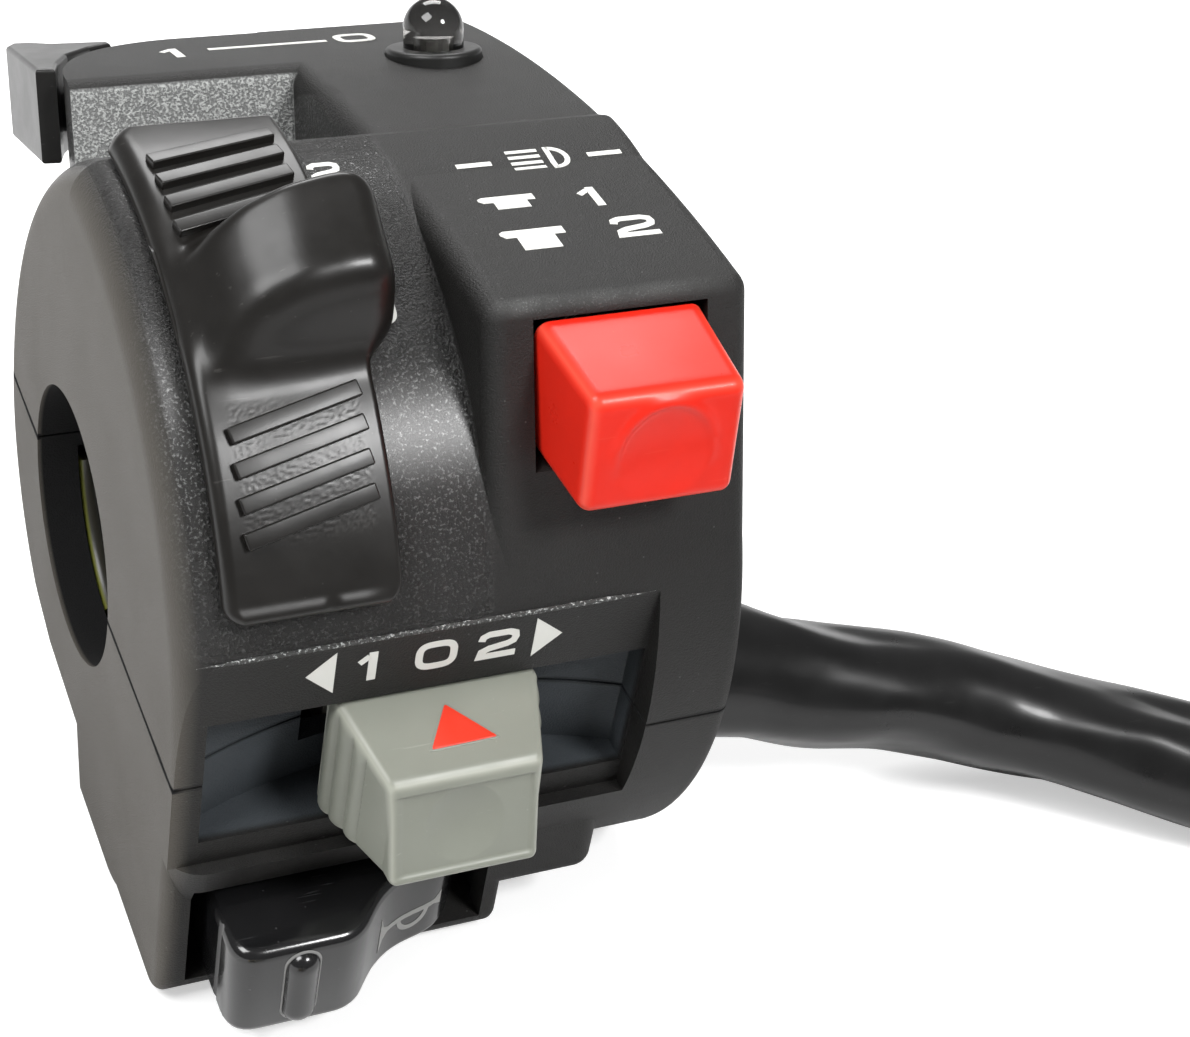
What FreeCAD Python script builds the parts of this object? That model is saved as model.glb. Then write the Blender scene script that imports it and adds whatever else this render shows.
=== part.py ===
import FreeCAD, Part
import math
import os

# Left handlebar switch cluster, in millimetres.
# X runs along the handlebar, away from the grip. -Y faces the rider. +Z is square to the parting plane.
# The origin is the bore's centre on the housing's left end face.

# Handlebar and housing
bar_r = 11.1
width = 43.0
shell_r = 31.2
wall = 2.2
end_wall = 2.6
split_gap = 0.2
sleeve_r = 13.3
rear_offset = 13.2
rear_r = 35.4
rear_lower_r = rear_r - rear_offset
base_z = -24.5
end_round = 3.0
tilt = 22.0

# Turn panel, window and tray
panel_y = -28.9
panel_top = 12.0
panel_bottom = -8.3
panel_end = 35.8
window_x0 = 2.2
window_x1 = 35.7
window_half = 6.0
tray_wall = 1.4
tray_depth = 5.7
tray_curve_r = 42.0

# Rib across the barrel
mid_rib_x0 = 15.2
mid_rib_x1 = 17.0
mid_rib_low = 24.0
mid_rib_high = 112.0

# Horn frame
horn_front = -28.3
horn_frame_end = 28.0
horn_block_end = 36.0
horn_block_z = -19.3
horn_top = -11.5
horn_floor = -22.3
horn_window_end = 26.4

# Switch block on the right of the barrel
block_x = 22.7
block_low = (-29.5, 10.16)
block_corner = (-19.9, 32.3)
block_mid = (6.0, 29.9)
block_rear = (rear_r - 0.8, 21.6)
chin = (rear_r - 8.1, 5.3)

# Kill switch box, laid out in the tilted frame
kill_front = 10.5
kill_rear = rear_r - 11.7
kill_round_x = 16.5
kill_round_y = 11.5
kill_round_r = 11.8
kill_wall = 2.0
kill_pivot = (14.5, 16.5)
kill_hub_r = 3.4
kill_pin_r = 1.0
kill_arm_w = 3.0
kill_arm_low = 26.8
kill_arm_high = 30.0
kill_low = 25.3
kill_high = 32.9

# Light lever
lever_x0 = 3.0
lever_x1 = 15.6
lever_gap = 0.4
lever_skin = 1.4
lever_low = 27.5
lever_high = 101.0
lever_swing = 22.0
web_low = 51.0
web_high = 76.0
web_x0 = 5.2
web_x1 = 12.8
paddle_x = 17.4
paddle_r = 40.0
paddle_low = 62.0
paddle_high = 75.0
inner_x0 = 4.2
rotor_x1 = mid_rib_x0 - 1.0
light_base_low = 40.0
light_base_high = 111.0
rib_count = 4
rib_pitch = 4.1
rib_height = 0.6
rib_width = 1.25
lower_rib_angle = 51.8
upper_rib_angle = 91.5

# Red button
red_x0 = 26.5
red_x1 = 39.3
red_low = 21.5
red_high = 31.0
red_front_low = -30.4
red_front_high = -29.0
red_back = -20.3
red_taper = 0.7
red_taper_right = 0.35
red_travel = 2.5
button_gap = 0.3

# Grey button
grey_mid = 19.3
grey_half = 7.8
grey_top = 5.7
grey_low = -5.7
grey_back = -26.8
grey_slide = 5.0
neck_x = 6.0
neck_z = 4.6

# Horn lever
horn_x0 = 3.6
horn_nose_x = 13.6
horn_nose_y = -35.0
horn_lever_top = -12.6
horn_lever_low = -21.8
horn_pin_x = 23.6
horn_pin_y = -22.0
horn_pin_r = 1.0

# Lamp
lamp_x = 35.0
lamp_y = 22.0
lamp_bezel_r = 4.0
lamp_r = 2.5
lamp_high = 4.8

# Screws
screw_r = 1.95
screw_clear = 0.25
screw_head_r = 3.2
screw_head_h = 2.8
screw_boss_r = 2.9
front_screw = (width - 9.8, -18.4)
rear_screw = (21.0, rear_lower_r - 4.4)
screw_seat = -8.5
screw_top = 9.5

# Signal wire inside the bore's wall
wire_low = 195.0
wire_high = 261.0
wire_mid_r = 12.0
wire_wall = end_wall + 0.7
wire_gap = 3.4

# Cable
sleeve_d = 12.0
gland_r = 5.6
outlet = (width, -17.2, -8.1)
outlet_dir = (0.96, -0.09, -0.265)
first_run = 25.0
cable_route = [(84.0, -25.8, -18.5), (113.5, -46.1, -18.5), (123.1, -91.1, -18.5),
               (99.4, -130.5, -18.5), (55.2, -143.2, -18.5), (14.2, -122.3, -18.5), (1.8, -84.3, -18.5)]
plug_size = (14.0, 11.0, 25.0)

os.makedirs("parts", exist_ok=True)


def V(x, y, z):
    return FreeCAD.Vector(x, y, z)


def wire_edges(start, steps):
    """Edges through lines (end,) and arcs (middle, end) of 3-D points."""
    edges = []
    here = start
    for step in steps:
        end = step[-1]
        if len(step) == 2:
            edges.append(Part.Arc(here, step[0], end).toShape())
        else:
            edges.append(Part.LineSegment(here, end).toShape())
        here = end
    if (here - start).Length > 1e-6:
        edges.append(Part.LineSegment(here, start).toShape())
    return edges


def prism_x(start, steps, x0, x1):
    """A solid whose section in the YZ plane runs from x0 to x1."""
    first = V(x0, start[0], start[1])
    turned = [tuple(V(x0, p[0], p[1]) for p in step) for step in steps]
    face = Part.Face(Part.Wire(wire_edges(first, turned)))
    return face.extrude(V(x1 - x0, 0, 0))


def prism_z(start, steps, z0, z1):
    """A solid whose plan in the XY plane runs from z0 to z1."""
    first = V(start[0], start[1], z0)
    turned = [tuple(V(p[0], p[1], z0) for p in step) for step in steps]
    face = Part.Face(Part.Wire(wire_edges(first, turned)))
    return face.extrude(V(0, 0, z1 - z0))


def corners(points):
    """Straight steps through a list of points."""
    return [(p,) for p in points]


def box(x0, x1, y0, y1, z0, z1):
    return Part.makeBox(x1 - x0, y1 - y0, z1 - z0, V(x0, y0, z0))


def rod_x(r, x0, x1, y=0.0, z=0.0):
    return Part.makeCylinder(r, x1 - x0, V(x0, y, z), V(1, 0, 0))


def rod_y(r, y0, y1, x, z):
    return Part.makeCylinder(r, y1 - y0, V(x, y0, z), V(0, 1, 0))


def rod_z(r, z0, z1, x, y):
    return Part.makeCylinder(r, z1 - z0, V(x, y, z0), V(0, 0, 1))


def on_shell(r, angle):
    """Point (y, z) at an angle up from -Y about the bar."""
    a = math.radians(angle)
    return (-r * math.cos(a), r * math.sin(a))


def arc_plate(r0, r1, a0, a1, x0, x1):
    """A curved plate about the bar between two radii and two angles."""
    mid = (a0 + a1) / 2
    steps = [(on_shell(r1, mid), on_shell(r1, a1)), (on_shell(r0, a1),),
             (on_shell(r0, mid), on_shell(r0, a0))]
    return prism_x(on_shell(r1, a0), steps, x0, x1)


def tilted(shape):
    """Turns a shape from the tilted frame of the kill switch and the lamp into the row's frame."""
    turned = shape.copy()
    turned.rotate(V(0, 0, 0), V(1, 0, 0), -tilt)
    return turned


def tilted_yz(y, z):
    a = math.radians(tilt)
    return (y * math.cos(a) + z * math.sin(a), -y * math.sin(a) + z * math.cos(a))


def edges_where(shape, test):
    return [e for e in shape.Edges if test(e)]


def rounded(shape, radius, test):
    return shape.makeFillet(radius, edges_where(shape, test))


def fused(first, others):
    return first.multiFuse(others).removeSplitter()


def spring(r, wire_r, turns, length, place, axis):
    """One unbroken coil as a pipe shell on quarter-turn arcs, along an axis from a place."""
    quarters = 4 * turns
    rise = length / quarters
    points = []
    for i in range(2 * quarters + 1):
        a = math.pi / 4 * i
        points.append(V(r * math.cos(a), r * math.sin(a), rise * i / 2))
    path = []
    for i in range(quarters):
        path.append(Part.Arc(points[2 * i], points[2 * i + 1], points[2 * i + 2]).toShape())
    spine = Part.Wire(path)
    start = path[0].Curve.tangent(path[0].FirstParameter)[0]
    section = Part.Wire([Part.makeCircle(wire_r, points[0], start)])
    coil = spine.makePipeShell([section], True, True)
    least = length / turns - 2 * wire_r
    print("spring: turns", turns, "gap between turns", round(least, 2))
    coil.Placement = FreeCAD.Placement(place, FreeCAD.Rotation(V(0, 0, 1), axis))
    return coil


def save(name, shape):
    if not shape.isValid():
        print("not valid:", name)
    shape.exportStep("parts/" + name + ".step")
    bb = shape.BoundBox
    print(name, len(shape.Solids), "solids", round(shape.Volume, 1), "mm3",
          [round(v, 1) for v in (bb.XMin, bb.XMax, bb.YMin, bb.YMax, bb.ZMin, bb.ZMax)])


# Housing sections

def meeting_of_circles(r_front, r_back):
    """Where the front circle about the bar meets the flatter rear circle."""
    y = (r_front ** 2 + rear_offset ** 2 - r_back ** 2) / (-2 * rear_offset)
    return (y, math.sqrt(r_front ** 2 - y ** 2))


def body_section(inset):
    """Start and steps of the main body's section, drawn in by the inset."""
    r = shell_r - inset
    rr = rear_r - inset
    rl = rear_lower_r - inset
    top = meeting_of_circles(r, rr)
    a_top = math.atan2(top[1], top[0] + rear_offset)
    rear_mid = (-rear_offset + rr * math.cos(a_top / 2), rr * math.sin(a_top / 2))
    a_low = math.radians(39.0)
    low = (rl * math.cos(a_low), -rl * math.sin(a_low))
    low_mid = (rl * math.cos(a_low / 2), -rl * math.sin(a_low / 2))
    floor = base_z + inset
    front = -math.sqrt(r ** 2 - floor ** 2)
    a_front = math.atan2(-floor, -front) / 2
    steps = [(on_shell(r, 50.0), top),
             (rear_mid, (rl, 0.0)),
             (low_mid, low),
             ((5.8 - inset * 0.4, -17.9 + inset),),
             ((-3.4 - inset, -18.6 + inset),),
             ((-5.0 - inset, floor),),
             ((front, floor),),
             ((-r * math.cos(a_front), -r * math.sin(a_front)), (-r, 0.0))]
    return (-r, 0.0), steps


def main_body():
    start, steps = body_section(0.0)
    shape = prism_x(start, steps, 0.0, width)

    def left_arc(e):
        bb = e.BoundBox
        at_end = bb.XMax < 0.01 and hasattr(e.Curve, "Radius")
        return at_end and abs(e.Curve.Radius - shell_r) < 0.01

    def left_rear(e):
        bb = e.BoundBox
        at_end = bb.XMax < 0.01 and hasattr(e.Curve, "Radius")
        return at_end and abs(e.Curve.Radius - rear_r) < 0.01

    shape = rounded(shape, end_round, lambda e: left_arc(e) or left_rear(e))
    shape = rounded(shape, 1.2, lambda e: e.BoundBox.XMin > width - 0.01)
    return shape


def horn_boxes():
    frame = box(0.0, horn_frame_end, horn_front, -12.0, base_z, 0.0)
    frame = rounded(frame, 2.4, lambda e: e.BoundBox.ZMax < base_z + 0.01
                    and e.BoundBox.YMax < horn_front + 0.01)
    frame = rounded(frame, 0.9, lambda e: (e.BoundBox.XMax < 0.01 and e.BoundBox.YMin < -13.0
                                           and e.BoundBox.YMax < -12.5) or
                    (e.BoundBox.XMin > horn_frame_end - 0.01 and e.BoundBox.YMax < -12.5))
    block = box(horn_frame_end - 4.0, horn_block_end, horn_front, -12.0, horn_block_z, 0.0)
    block = rounded(block, 1.8, lambda e: e.BoundBox.XMin > horn_block_end - 0.01 and e.BoundBox.YMax < -12.5)
    block = rounded(block, 1.2, lambda e: e.BoundBox.ZMax < horn_block_z + 0.01
                    and e.BoundBox.YMax < horn_front + 0.01 and e.Length > 3.0)
    return [frame, block]


def block_section(inset):
    """The switch block's section: slanted front, crowned top, tilted rear wall and chin."""
    slant = math.atan2(block_corner[1] - block_low[1], block_corner[0] - block_low[0])
    nx = math.sin(slant)
    nz = -math.cos(slant)
    low = (block_low[0] + inset * nx, block_low[1] + inset * nz)
    corner = (block_corner[0] + inset * 1.45, block_corner[1] - inset * 1.06)
    mid = (block_mid[0], block_mid[1] - inset * 1.01)
    rear = (block_rear[0] - inset * 1.33, block_rear[1] - inset * 0.62)
    low_rear = (chin[0] - inset * 0.9, chin[1] + inset * 0.1)
    steps = [(corner,), (mid, rear), (low_rear,), ((rear_lower_r - inset, 0.0),), ((10.0, 0.0),),
             ((10.0, 10.16),)]
    return low, steps


def switch_block():
    start, steps = block_section(0.0)
    shape = prism_x(start, steps, block_x, width)
    top = block_corner[1]
    shape = rounded(shape, 1.5, lambda e: e.BoundBox.YLength < 0.01 and e.BoundBox.ZMin > top - 0.01
                    and e.BoundBox.XLength > (width - block_x) / 2)
    shape = rounded(shape, 1.2, lambda e: e.BoundBox.XMin > width - 0.01
                    and e.BoundBox.ZMax > block_low[1] + 0.1)
    shape = rounded(shape, 1.6, lambda e: e.BoundBox.XMax < block_x + 0.01 and e.BoundBox.ZMax > top - 2.5)
    return shape


def kill_plan(inset, x_end):
    """Plan of the kill switch box in the tilted frame: a straight front and a rounded left end."""
    r = kill_round_r - inset
    y0 = kill_front + inset
    y1 = kill_rear - inset
    x_left = kill_round_x - math.sqrt(r ** 2 - (y0 - kill_round_y) ** 2)
    x_top = kill_round_x - math.sqrt(max(r ** 2 - (y1 - kill_round_y) ** 2, 0.0))
    mid = (kill_round_x - r * math.cos(math.radians(40.0)), kill_round_y + r * math.sin(math.radians(40.0)))
    return (x_left, y0), [(mid, (x_top, y1)), ((x_end, y1),), ((x_end, y0),)]


def kill_box():
    start, steps = kill_plan(0.0, block_x + 2.0)
    column = tilted(prism_z(start, steps, 5.0, 40.0))
    section_start, section_steps = block_section(0.0)
    envelope = prism_x(section_start, section_steps, 0.0, block_x + 2.0)
    shape = column.common(envelope)
    a = math.radians(tilt)

    def front_top(e):
        mid = e.valueAt((e.FirstParameter + e.LastParameter) / 2)
        along = mid.y * math.cos(a) - mid.z * math.sin(a)
        up = mid.y * math.sin(a) + mid.z * math.cos(a)
        return abs(along - kill_front) < 0.05 and up > kill_high - 2.0 and e.BoundBox.XLength > block_x / 4

    return rounded(shape, 1.3, front_top)


def turn_tray():
    return box(window_x0 - tray_wall, window_x1 + tray_wall, panel_y, panel_y + tray_depth + tray_wall,
               -window_half - tray_wall, window_half + tray_wall)


def tray_space():
    """The window's recess, with a back wall that is a shallow arc in plan."""
    centre = (window_x0 + window_x1) / 2
    space = box(window_x0, window_x1, panel_y - 4.0, panel_y + tray_depth, -window_half, window_half)
    curve = rod_z(tray_curve_r, -window_half, window_half, centre, panel_y + tray_depth - tray_curve_r)
    return space.common(curve)


def neck_slot():
    reach = neck_x / 2 + grey_slide + button_gap
    half = neck_z / 2 + button_gap
    back = panel_y + tray_depth + tray_wall + 1.0
    return box(grey_mid - reach, grey_mid + reach, panel_y, back, -half, half)


def housing_outside():
    body = main_body()
    panel_cut = box(-1.0, panel_end, panel_y - 10.0, panel_y, panel_bottom, panel_top)
    body = body.cut(panel_cut)
    rear_boss = rod_z(4.6, -14.5, 0.0, rear_screw[0], rear_screw[1])
    lip = box(0.0, window_x1 + 0.3, panel_y, -12.0, panel_bottom, 0.0)
    block = switch_block().cut(panel_cut)
    return body.multiFuse(horn_boxes() + [block, kill_box(), rear_boss, lip])


def housing_inside():
    """Everything that is hollow inside, before the bore's own wall is kept."""
    start, steps = body_section(wall)
    main = prism_x(start, steps, end_wall, width - wall)
    front_keep = box(-1.0, panel_end + wall, -40.0, panel_y + wall, -40.0, panel_top + 1.5)
    main = main.cut(front_keep)
    low_front = box(end_wall, horn_frame_end - 1.2, horn_front + wall, -12.0, horn_floor, panel_bottom - 0.5)
    low_side = box(end_wall, horn_block_end - wall, horn_front + wall, -12.0, horn_block_z + wall,
                   panel_bottom - 0.5)
    start, steps = block_section(wall)
    block = prism_x(start, steps, block_x + wall, width - wall)
    block = block.cut(box(0.0, panel_end + wall, -40.0, panel_y + wall, 0.0, panel_top + 1.5))
    start, steps = kill_plan(kill_wall, width - wall)
    kill = tilted(prism_z(start, steps, 13.0, 40.0))
    section_start, section_steps = block_section(wall)
    kill = kill.common(prism_x(section_start, section_steps, 0.0, width))
    kill = kill.cut(rod_x(sleeve_r, 0.0, width))
    hollow = main.multiFuse([low_front, low_side, block, kill])
    hollow = hollow.cut(turn_tray())
    return hollow.cut(rod_x(sleeve_r, 0.0, width))


def lever_slot():
    return arc_plate(shell_r - wall - 6.0, shell_r + 3.0, web_low - 1.0, web_high + lever_swing + 1.2,
                     web_x0 - 0.4, web_x1 + 0.4)


def mid_rib():
    """A rib across the barrel that carries the light switch's base."""
    low, high = mid_rib_low, mid_rib_high
    return arc_plate(sleeve_r - 0.5, shell_r - wall + 0.5, low, high, mid_rib_x0, mid_rib_x1)


def red_hole():
    g = button_gap
    return box(red_x0 - g, red_x1 + g, -40.0, red_back + red_travel + 0.8, red_low - g, red_high + g)


def lamp_hole():
    y, z = lamp_seat()
    hole = rod_z(2.9, z - 9.0, z + 3.0, lamp_x, y)
    spot = rod_z(lamp_bezel_r + 0.05, z - 0.5, z + 3.0, lamp_x, y)
    return tilted(hole.fuse(spot))


def lamp_seat():
    """The lamp's seat in the tilted frame: y, z."""
    a = math.radians(tilt)
    z_top = 25.95
    return (lamp_y * math.cos(a) - z_top * math.sin(a), lamp_y * math.sin(a) + z_top * math.cos(a))


def kill_slot():
    """Slot in the rounded wall for the kill lever's arm, over its whole swing."""
    x, y = kill_pivot
    lo = math.radians(180.0 - 169.0)
    hi = math.radians(180.0 - 101.0)
    inner = 3.0
    outer = 9.6
    mid = (lo + hi) / 2

    def at(r, a):
        return (x - r * math.cos(a), y + r * math.sin(a))

    steps = [(at(outer, mid), at(outer, hi)), (at(inner, hi),), (at(inner, mid), at(inner, lo))]
    return tilted(prism_z(at(outer, lo), steps, kill_arm_low - 0.3, kill_arm_high + 0.3))


def wire_window():
    """Gap in the bore's wall at the lower rear, where a wire shows inside the bore."""
    low, high = wire_low - 8.0, wire_high + 8.0
    return arc_plate(bar_r - 1.0, sleeve_r + 0.5, low, high, wire_wall, wire_wall + wire_gap)


def cable_hole():
    d = V(*outlet_dir)
    return Part.makeCylinder(gland_r, 9.0, V(*outlet) - d * 5.0, d)


def screw_cuts():
    cuts = []
    for x, y in (front_screw, rear_screw):
        cuts.append(rod_z(screw_r + screw_clear, screw_seat - 0.1, 0.0, x, y))
        cuts.append(rod_z(screw_head_r + 0.4, base_z - 5.0, screw_seat, x, y))
    return cuts


def screw_bosses(r, z0, z1):
    return [rod_z(r, z0, z1, x, y) for x, y in (front_screw, rear_screw)]


outside = housing_outside()
hollow = housing_inside()
bore = rod_x(bar_r, -1.0, width + 1.0)

shell = outside.cut(hollow)
shell = shell.fuse(mid_rib())
shell = shell.cut(bore)
window_cuts = tray_space().multiFuse([neck_slot()])
shell = shell.cut(window_cuts)
print("shell solids", len(shell.Solids), shell.isValid())

upper_space = box(-5.0, width + 5.0, -60.0, 60.0, split_gap / 2, 60.0)
lower_space = box(-5.0, width + 5.0, -60.0, 60.0, -60.0, -split_gap / 2)

upper = shell.common(upper_space)
boss_rib = box(front_screw[0] - 1.0, front_screw[0] + 1.0, panel_y + 6.0, front_screw[1],
               split_gap / 2, screw_top + 2.0)
upper = upper.multiFuse(screw_bosses(screw_boss_r, split_gap / 2, screw_top + 2.0) + [boss_rib])
upper = upper.cut(lever_slot())
upper = upper.cut(red_hole())
upper = upper.cut(lamp_hole())
upper = upper.cut(kill_slot())
upper = upper.cut(tray_space())
for x, y in (front_screw, rear_screw):
    upper = upper.cut(rod_z(screw_r + 0.05, 0.0, screw_top + 0.5, x, y))

lower = shell.common(lower_space)
screw_tubes = [t.common(outside) for t in screw_bosses(screw_head_r + 1.4, base_z, screw_seat + 2.0)]
lower = lower.multiFuse(screw_bosses(screw_boss_r, screw_seat, -split_gap / 2) + screw_tubes)
lower = lower.cut(tray_space())
lower = lower.cut(box(window_x0, horn_window_end, horn_front - 3.0, horn_front + wall + 0.2,
                      horn_floor, horn_top))
lower = lower.cut(cable_hole())
lower = lower.cut(wire_window())
for cut in screw_cuts():
    lower = lower.cut(cut)

pivot_x, pivot_y = kill_pivot
upper = upper.cut(tilted(rod_z(kill_pin_r, 28.0, 31.0, pivot_x, pivot_y)))
lower = lower.cut(rod_z(horn_pin_r, horn_floor - 1.2, horn_floor + 1.0, horn_pin_x, horn_pin_y))
save("upper_housing", upper)
save("lower_housing", lower)


# Light lever: a curved plate outside the barrel, with two ribbed pads and a thumb paddle

def paddle_section(x, low, edge, edge_r, crest, crest_r, high):
    root = shell_r + lever_gap + 0.6
    a = on_shell(root, low)
    b = on_shell(edge_r, edge)
    c = on_shell(crest_r, crest)
    d = on_shell(root, high)
    hollow_mid = on_shell((root + edge_r) / 2 - 0.6, (low + edge) / 2 + 0.6)
    top_mid = on_shell((edge_r + crest_r) / 2 + 0.5, (edge + crest) / 2)
    back_mid = on_shell((root + crest_r) / 2 - 0.4, (high + crest) / 2 - 0.6)
    steps = [(hollow_mid, b), (top_mid, c), (back_mid, d)]
    first = V(x, a[0], a[1])
    turned = [tuple(V(x, q[0], q[1]) for q in step) for step in steps]
    return Part.Wire(wire_edges(first, turned))


def lever_rib(angle):
    """One slanted grip rib on the lever's outer face."""
    base = shell_r + lever_gap + lever_skin
    length = 9.8
    rib = box(-length / 2, length / 2, -rib_height, 0.5, -rib_width / 2, rib_width / 2)
    rib = rounded(rib, 0.3, lambda e: e.BoundBox.YMax < -rib_height + 0.01)
    rib.rotate(V(0, 0, 0), V(0, 1, 0), -13.0)
    rib.translate(V(9.5, -base, 0.0))
    rib.rotate(V(0, 0, 0), V(1, 0, 0), -angle)
    return rib


plate_r0 = shell_r + lever_gap
plate_r1 = plate_r0 + lever_skin
plate = arc_plate(plate_r0, plate_r1, lever_low, lever_high, lever_x0, lever_x1)
plate = rounded(plate, 1.0, lambda e: e.BoundBox.XMax < lever_x0 + 0.01 and e.Length > 30
                and e.BoundBox.ZMax > plate_r1 - 0.5)
paddle = Part.makeLoft([paddle_section(4.6, 56.5, 60.0, 33.6, 71.5, 34.0, 74.5),
                        paddle_section(7.0, 57.5, 61.0, 36.2, 73.0, 36.9, 77.0),
                        paddle_section(11.0, 58.5, 61.8, 38.0, 74.2, 39.2, 79.5),
                        paddle_section(paddle_x, 59.5, paddle_low, 38.5, paddle_high, paddle_r, 80.5)], True)
border = arc_plate(plate_r1 - 0.3, plate_r1 + 0.6, lever_low, 58.0, lever_x0 + 0.9, lever_x0 + 1.8)
lip = arc_plate(plate_r1 - 0.3, plate_r1 + 0.6, lever_low, lever_low + 2.4, lever_x0 + 0.9, lever_x1)
web = arc_plate(shell_r - wall - 0.3, plate_r0 + 0.3, web_low, web_high, web_x0, web_x1)
ribs = []
for i in range(rib_count):
    ribs.append(lever_rib(lower_rib_angle - rib_pitch * i))
    ribs.append(lever_rib(upper_rib_angle - rib_pitch * i))
light_lever = fused(plate, [paddle, border, lip, web] + ribs)
save("light_lever", light_lever)

# Light switch inside the barrel

rotor_r1 = shell_r - wall - 0.3
rotor_r0 = rotor_r1 - 4.5
light_base_r1 = rotor_r0 - 0.8
light_base_r0 = light_base_r1 - 3.4
rotor = arc_plate(rotor_r0, rotor_r1, web_low - 6.0, web_high - 1.0, inner_x0, rotor_x1)
ball_r = 1.3
ball_x = end_wall + ball_r + 0.05
ball_y, ball_z = on_shell((rotor_r0 + rotor_r1) / 2, 63.5)
ball_bore = rod_x(ball_r, 0.0, 9.5, ball_y, ball_z)
rotor = rotor.cut(ball_bore)
save("light_rotor", rotor)
save("light_detent_ball", Part.makeSphere(ball_r, V(ball_x, ball_y, ball_z)))
spring_x = ball_x + 1.05
save("light_detent_spring", spring(0.95, 0.16, 4, 9.35 - spring_x, V(spring_x, ball_y, ball_z), V(1, 0, 0)))
light_pads = [arc_plate(light_base_r1 - 0.5, light_base_r1, a - 3.0, a + 3.0, 7.5, 12.5)
              for a in (63.5, 74.5, 85.5)]
light_base = arc_plate(light_base_r0, light_base_r1, light_base_low, light_base_high, inner_x0, mid_rib_x0)
save("light_base", light_base.cut(Part.makeCompound(light_pads)))
save("light_contacts", Part.makeCompound(light_pads))
save("light_brush", arc_plate(light_base_r1 + 0.15, rotor_r0, 61.5, 65.5, 8.5, 11.5))

# Red button for the beams

def quad(points):
    return Part.makePolygon([V(*p) for p in points] + [V(*points[0])])


t = red_taper
red_rear = quad([(red_x0, red_back, red_low), (red_x1, red_back, red_low), (red_x1, red_back, red_high),
                 (red_x0, red_back, red_high)])
tr = red_taper_right
red_face = quad([(red_x0 + t, red_front_low, red_low + 0.1), (red_x1 - tr, red_front_low, red_low + 0.1),
                 (red_x1 - tr, red_front_high, red_high - 0.3), (red_x0 + t, red_front_high, red_high - 0.3)])
red = Part.makeLoft([red_rear, red_face], True, True)
red = rounded(red, 0.9, lambda e: e.BoundBox.YMax < red_front_high + 0.01 or e.BoundBox.YLength > 5.0)
dish_mid = V((red_x0 + red_x1) / 2, -42.4, (red_low + red_high) / 2 - 1.6)
red = red.cut(Part.makeSphere(13.0, dish_mid))
save("dimmer_button", red)

red_mid_x = (red_x0 + red_x1) / 2
red_mid_z = 25.8
body_front = red_back + 4.7
body_back = body_front + 11.1
plunger = box(red_mid_x - 2.0, red_mid_x + 2.0, red_back, body_back - 3.7, red_mid_z - 1.5, red_mid_z + 1.5)
save("dimmer_plunger", plunger)
dimmer_body = box(block_x + wall, width - wall, body_front, body_back, red_mid_z - 4.0, red_mid_z + 3.4)
dimmer_body = dimmer_body.cut(box(red_mid_x - 2.1, red_mid_x + 2.1, body_front - 1, body_back - 0.5,
                                  red_mid_z - 1.6, red_mid_z + 1.6))
pad_y = body_back - 0.5
dimmer_pads = [box(red_mid_x - 2.1, red_mid_x - 1.0, pad_y, body_back, red_mid_z - 1.0, red_mid_z + 1.0),
               box(red_mid_x + 1.0, red_mid_x + 2.1, pad_y, body_back, red_mid_z - 1.0, red_mid_z + 1.0)]
save("dimmer_body", dimmer_body.cut(Part.makeCompound(dimmer_pads)))
save("dimmer_contacts", Part.makeCompound(dimmer_pads))
save("dimmer_spring", spring(3.0, 0.3, 3, body_front - red_back - 0.62,
                             V(red_mid_x, red_back + 0.31, red_mid_z), V(0, 1, 0)))

# Grey button on its carriage

m = grey_mid
plan = [(m - grey_half + 0.3, grey_back), (m - grey_half, panel_y - 0.3)]
left_steps = [((m - grey_half, panel_y - 0.3),),
              ((m - 7.75, -30.4), (m - 7.2, -31.6)),
              ((m - 7.15, -33.0), (m - 6.5, -34.0)),
              ((m - 6.55, -35.2), (m - 6.1, -36.0)),
              ((m - 5.8, -39.0),),
              ((m + 5.5, -39.0),),
              ((m + 5.8, -36.0),),
              ((m + 6.5, -35.2), (m + 6.5, -34.0)),
              ((m + 7.15, -33.0), (m + 7.2, -31.6)),
              ((m + 7.75, -30.4), (m + grey_half, panel_y - 0.3)),
              ((m + grey_half - 0.3, grey_back),)]
grey_plan = prism_z(plan[0], left_steps, -8.0, 8.0)
grey_side_steps = [((panel_y, grey_low),), ((-37.8, -4.6),), ((-38.0, -4.2),), ((-35.6, 3.5),),
                   ((-35.2, 3.8),), ((panel_y, grey_top),), ((grey_back, grey_top),)]
grey_side = prism_x((grey_back, grey_low), grey_side_steps, m - 9.0, m + 9.0)
grey = grey_plan.common(grey_side)
face_dip_a = (-38.0, -4.2)
face_dip_b = (-35.6, 3.5)
lean = math.atan2(face_dip_b[0] - face_dip_a[0], face_dip_b[1] - face_dip_a[1])
dip = box(m - 4.6, m + 4.6, -0.25, 0.25, -3.5, 3.5)
dip.rotate(V(0, 0, 0), V(1, 0, 0), -math.degrees(lean))
dip.translate(V(0, (face_dip_a[0] + face_dip_b[0]) / 2, (face_dip_a[1] + face_dip_b[1]) / 2))
grey = grey.cut(dip)
neck_end = -20.6
neck = box(m - neck_x / 2, m + neck_x / 2, grey_back - 1.0, neck_end, -neck_z / 2, neck_z / 2)
grey = fused(grey, [neck])
save("turn_button", grey)

arrow_points = [(19.3, -30.2), (17.25, -33.4), (22.4, -33.3)]
arrow_prism = prism_z(arrow_points[0], corners(arrow_points[1:]), 3.0, 7.0)
arrow_cap = grey_side.copy()
arrow_cap.translate(V(0, 0, 0.1))
save("turn_button_arrow", arrow_prism.common(arrow_cap).cut(grey))

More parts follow.
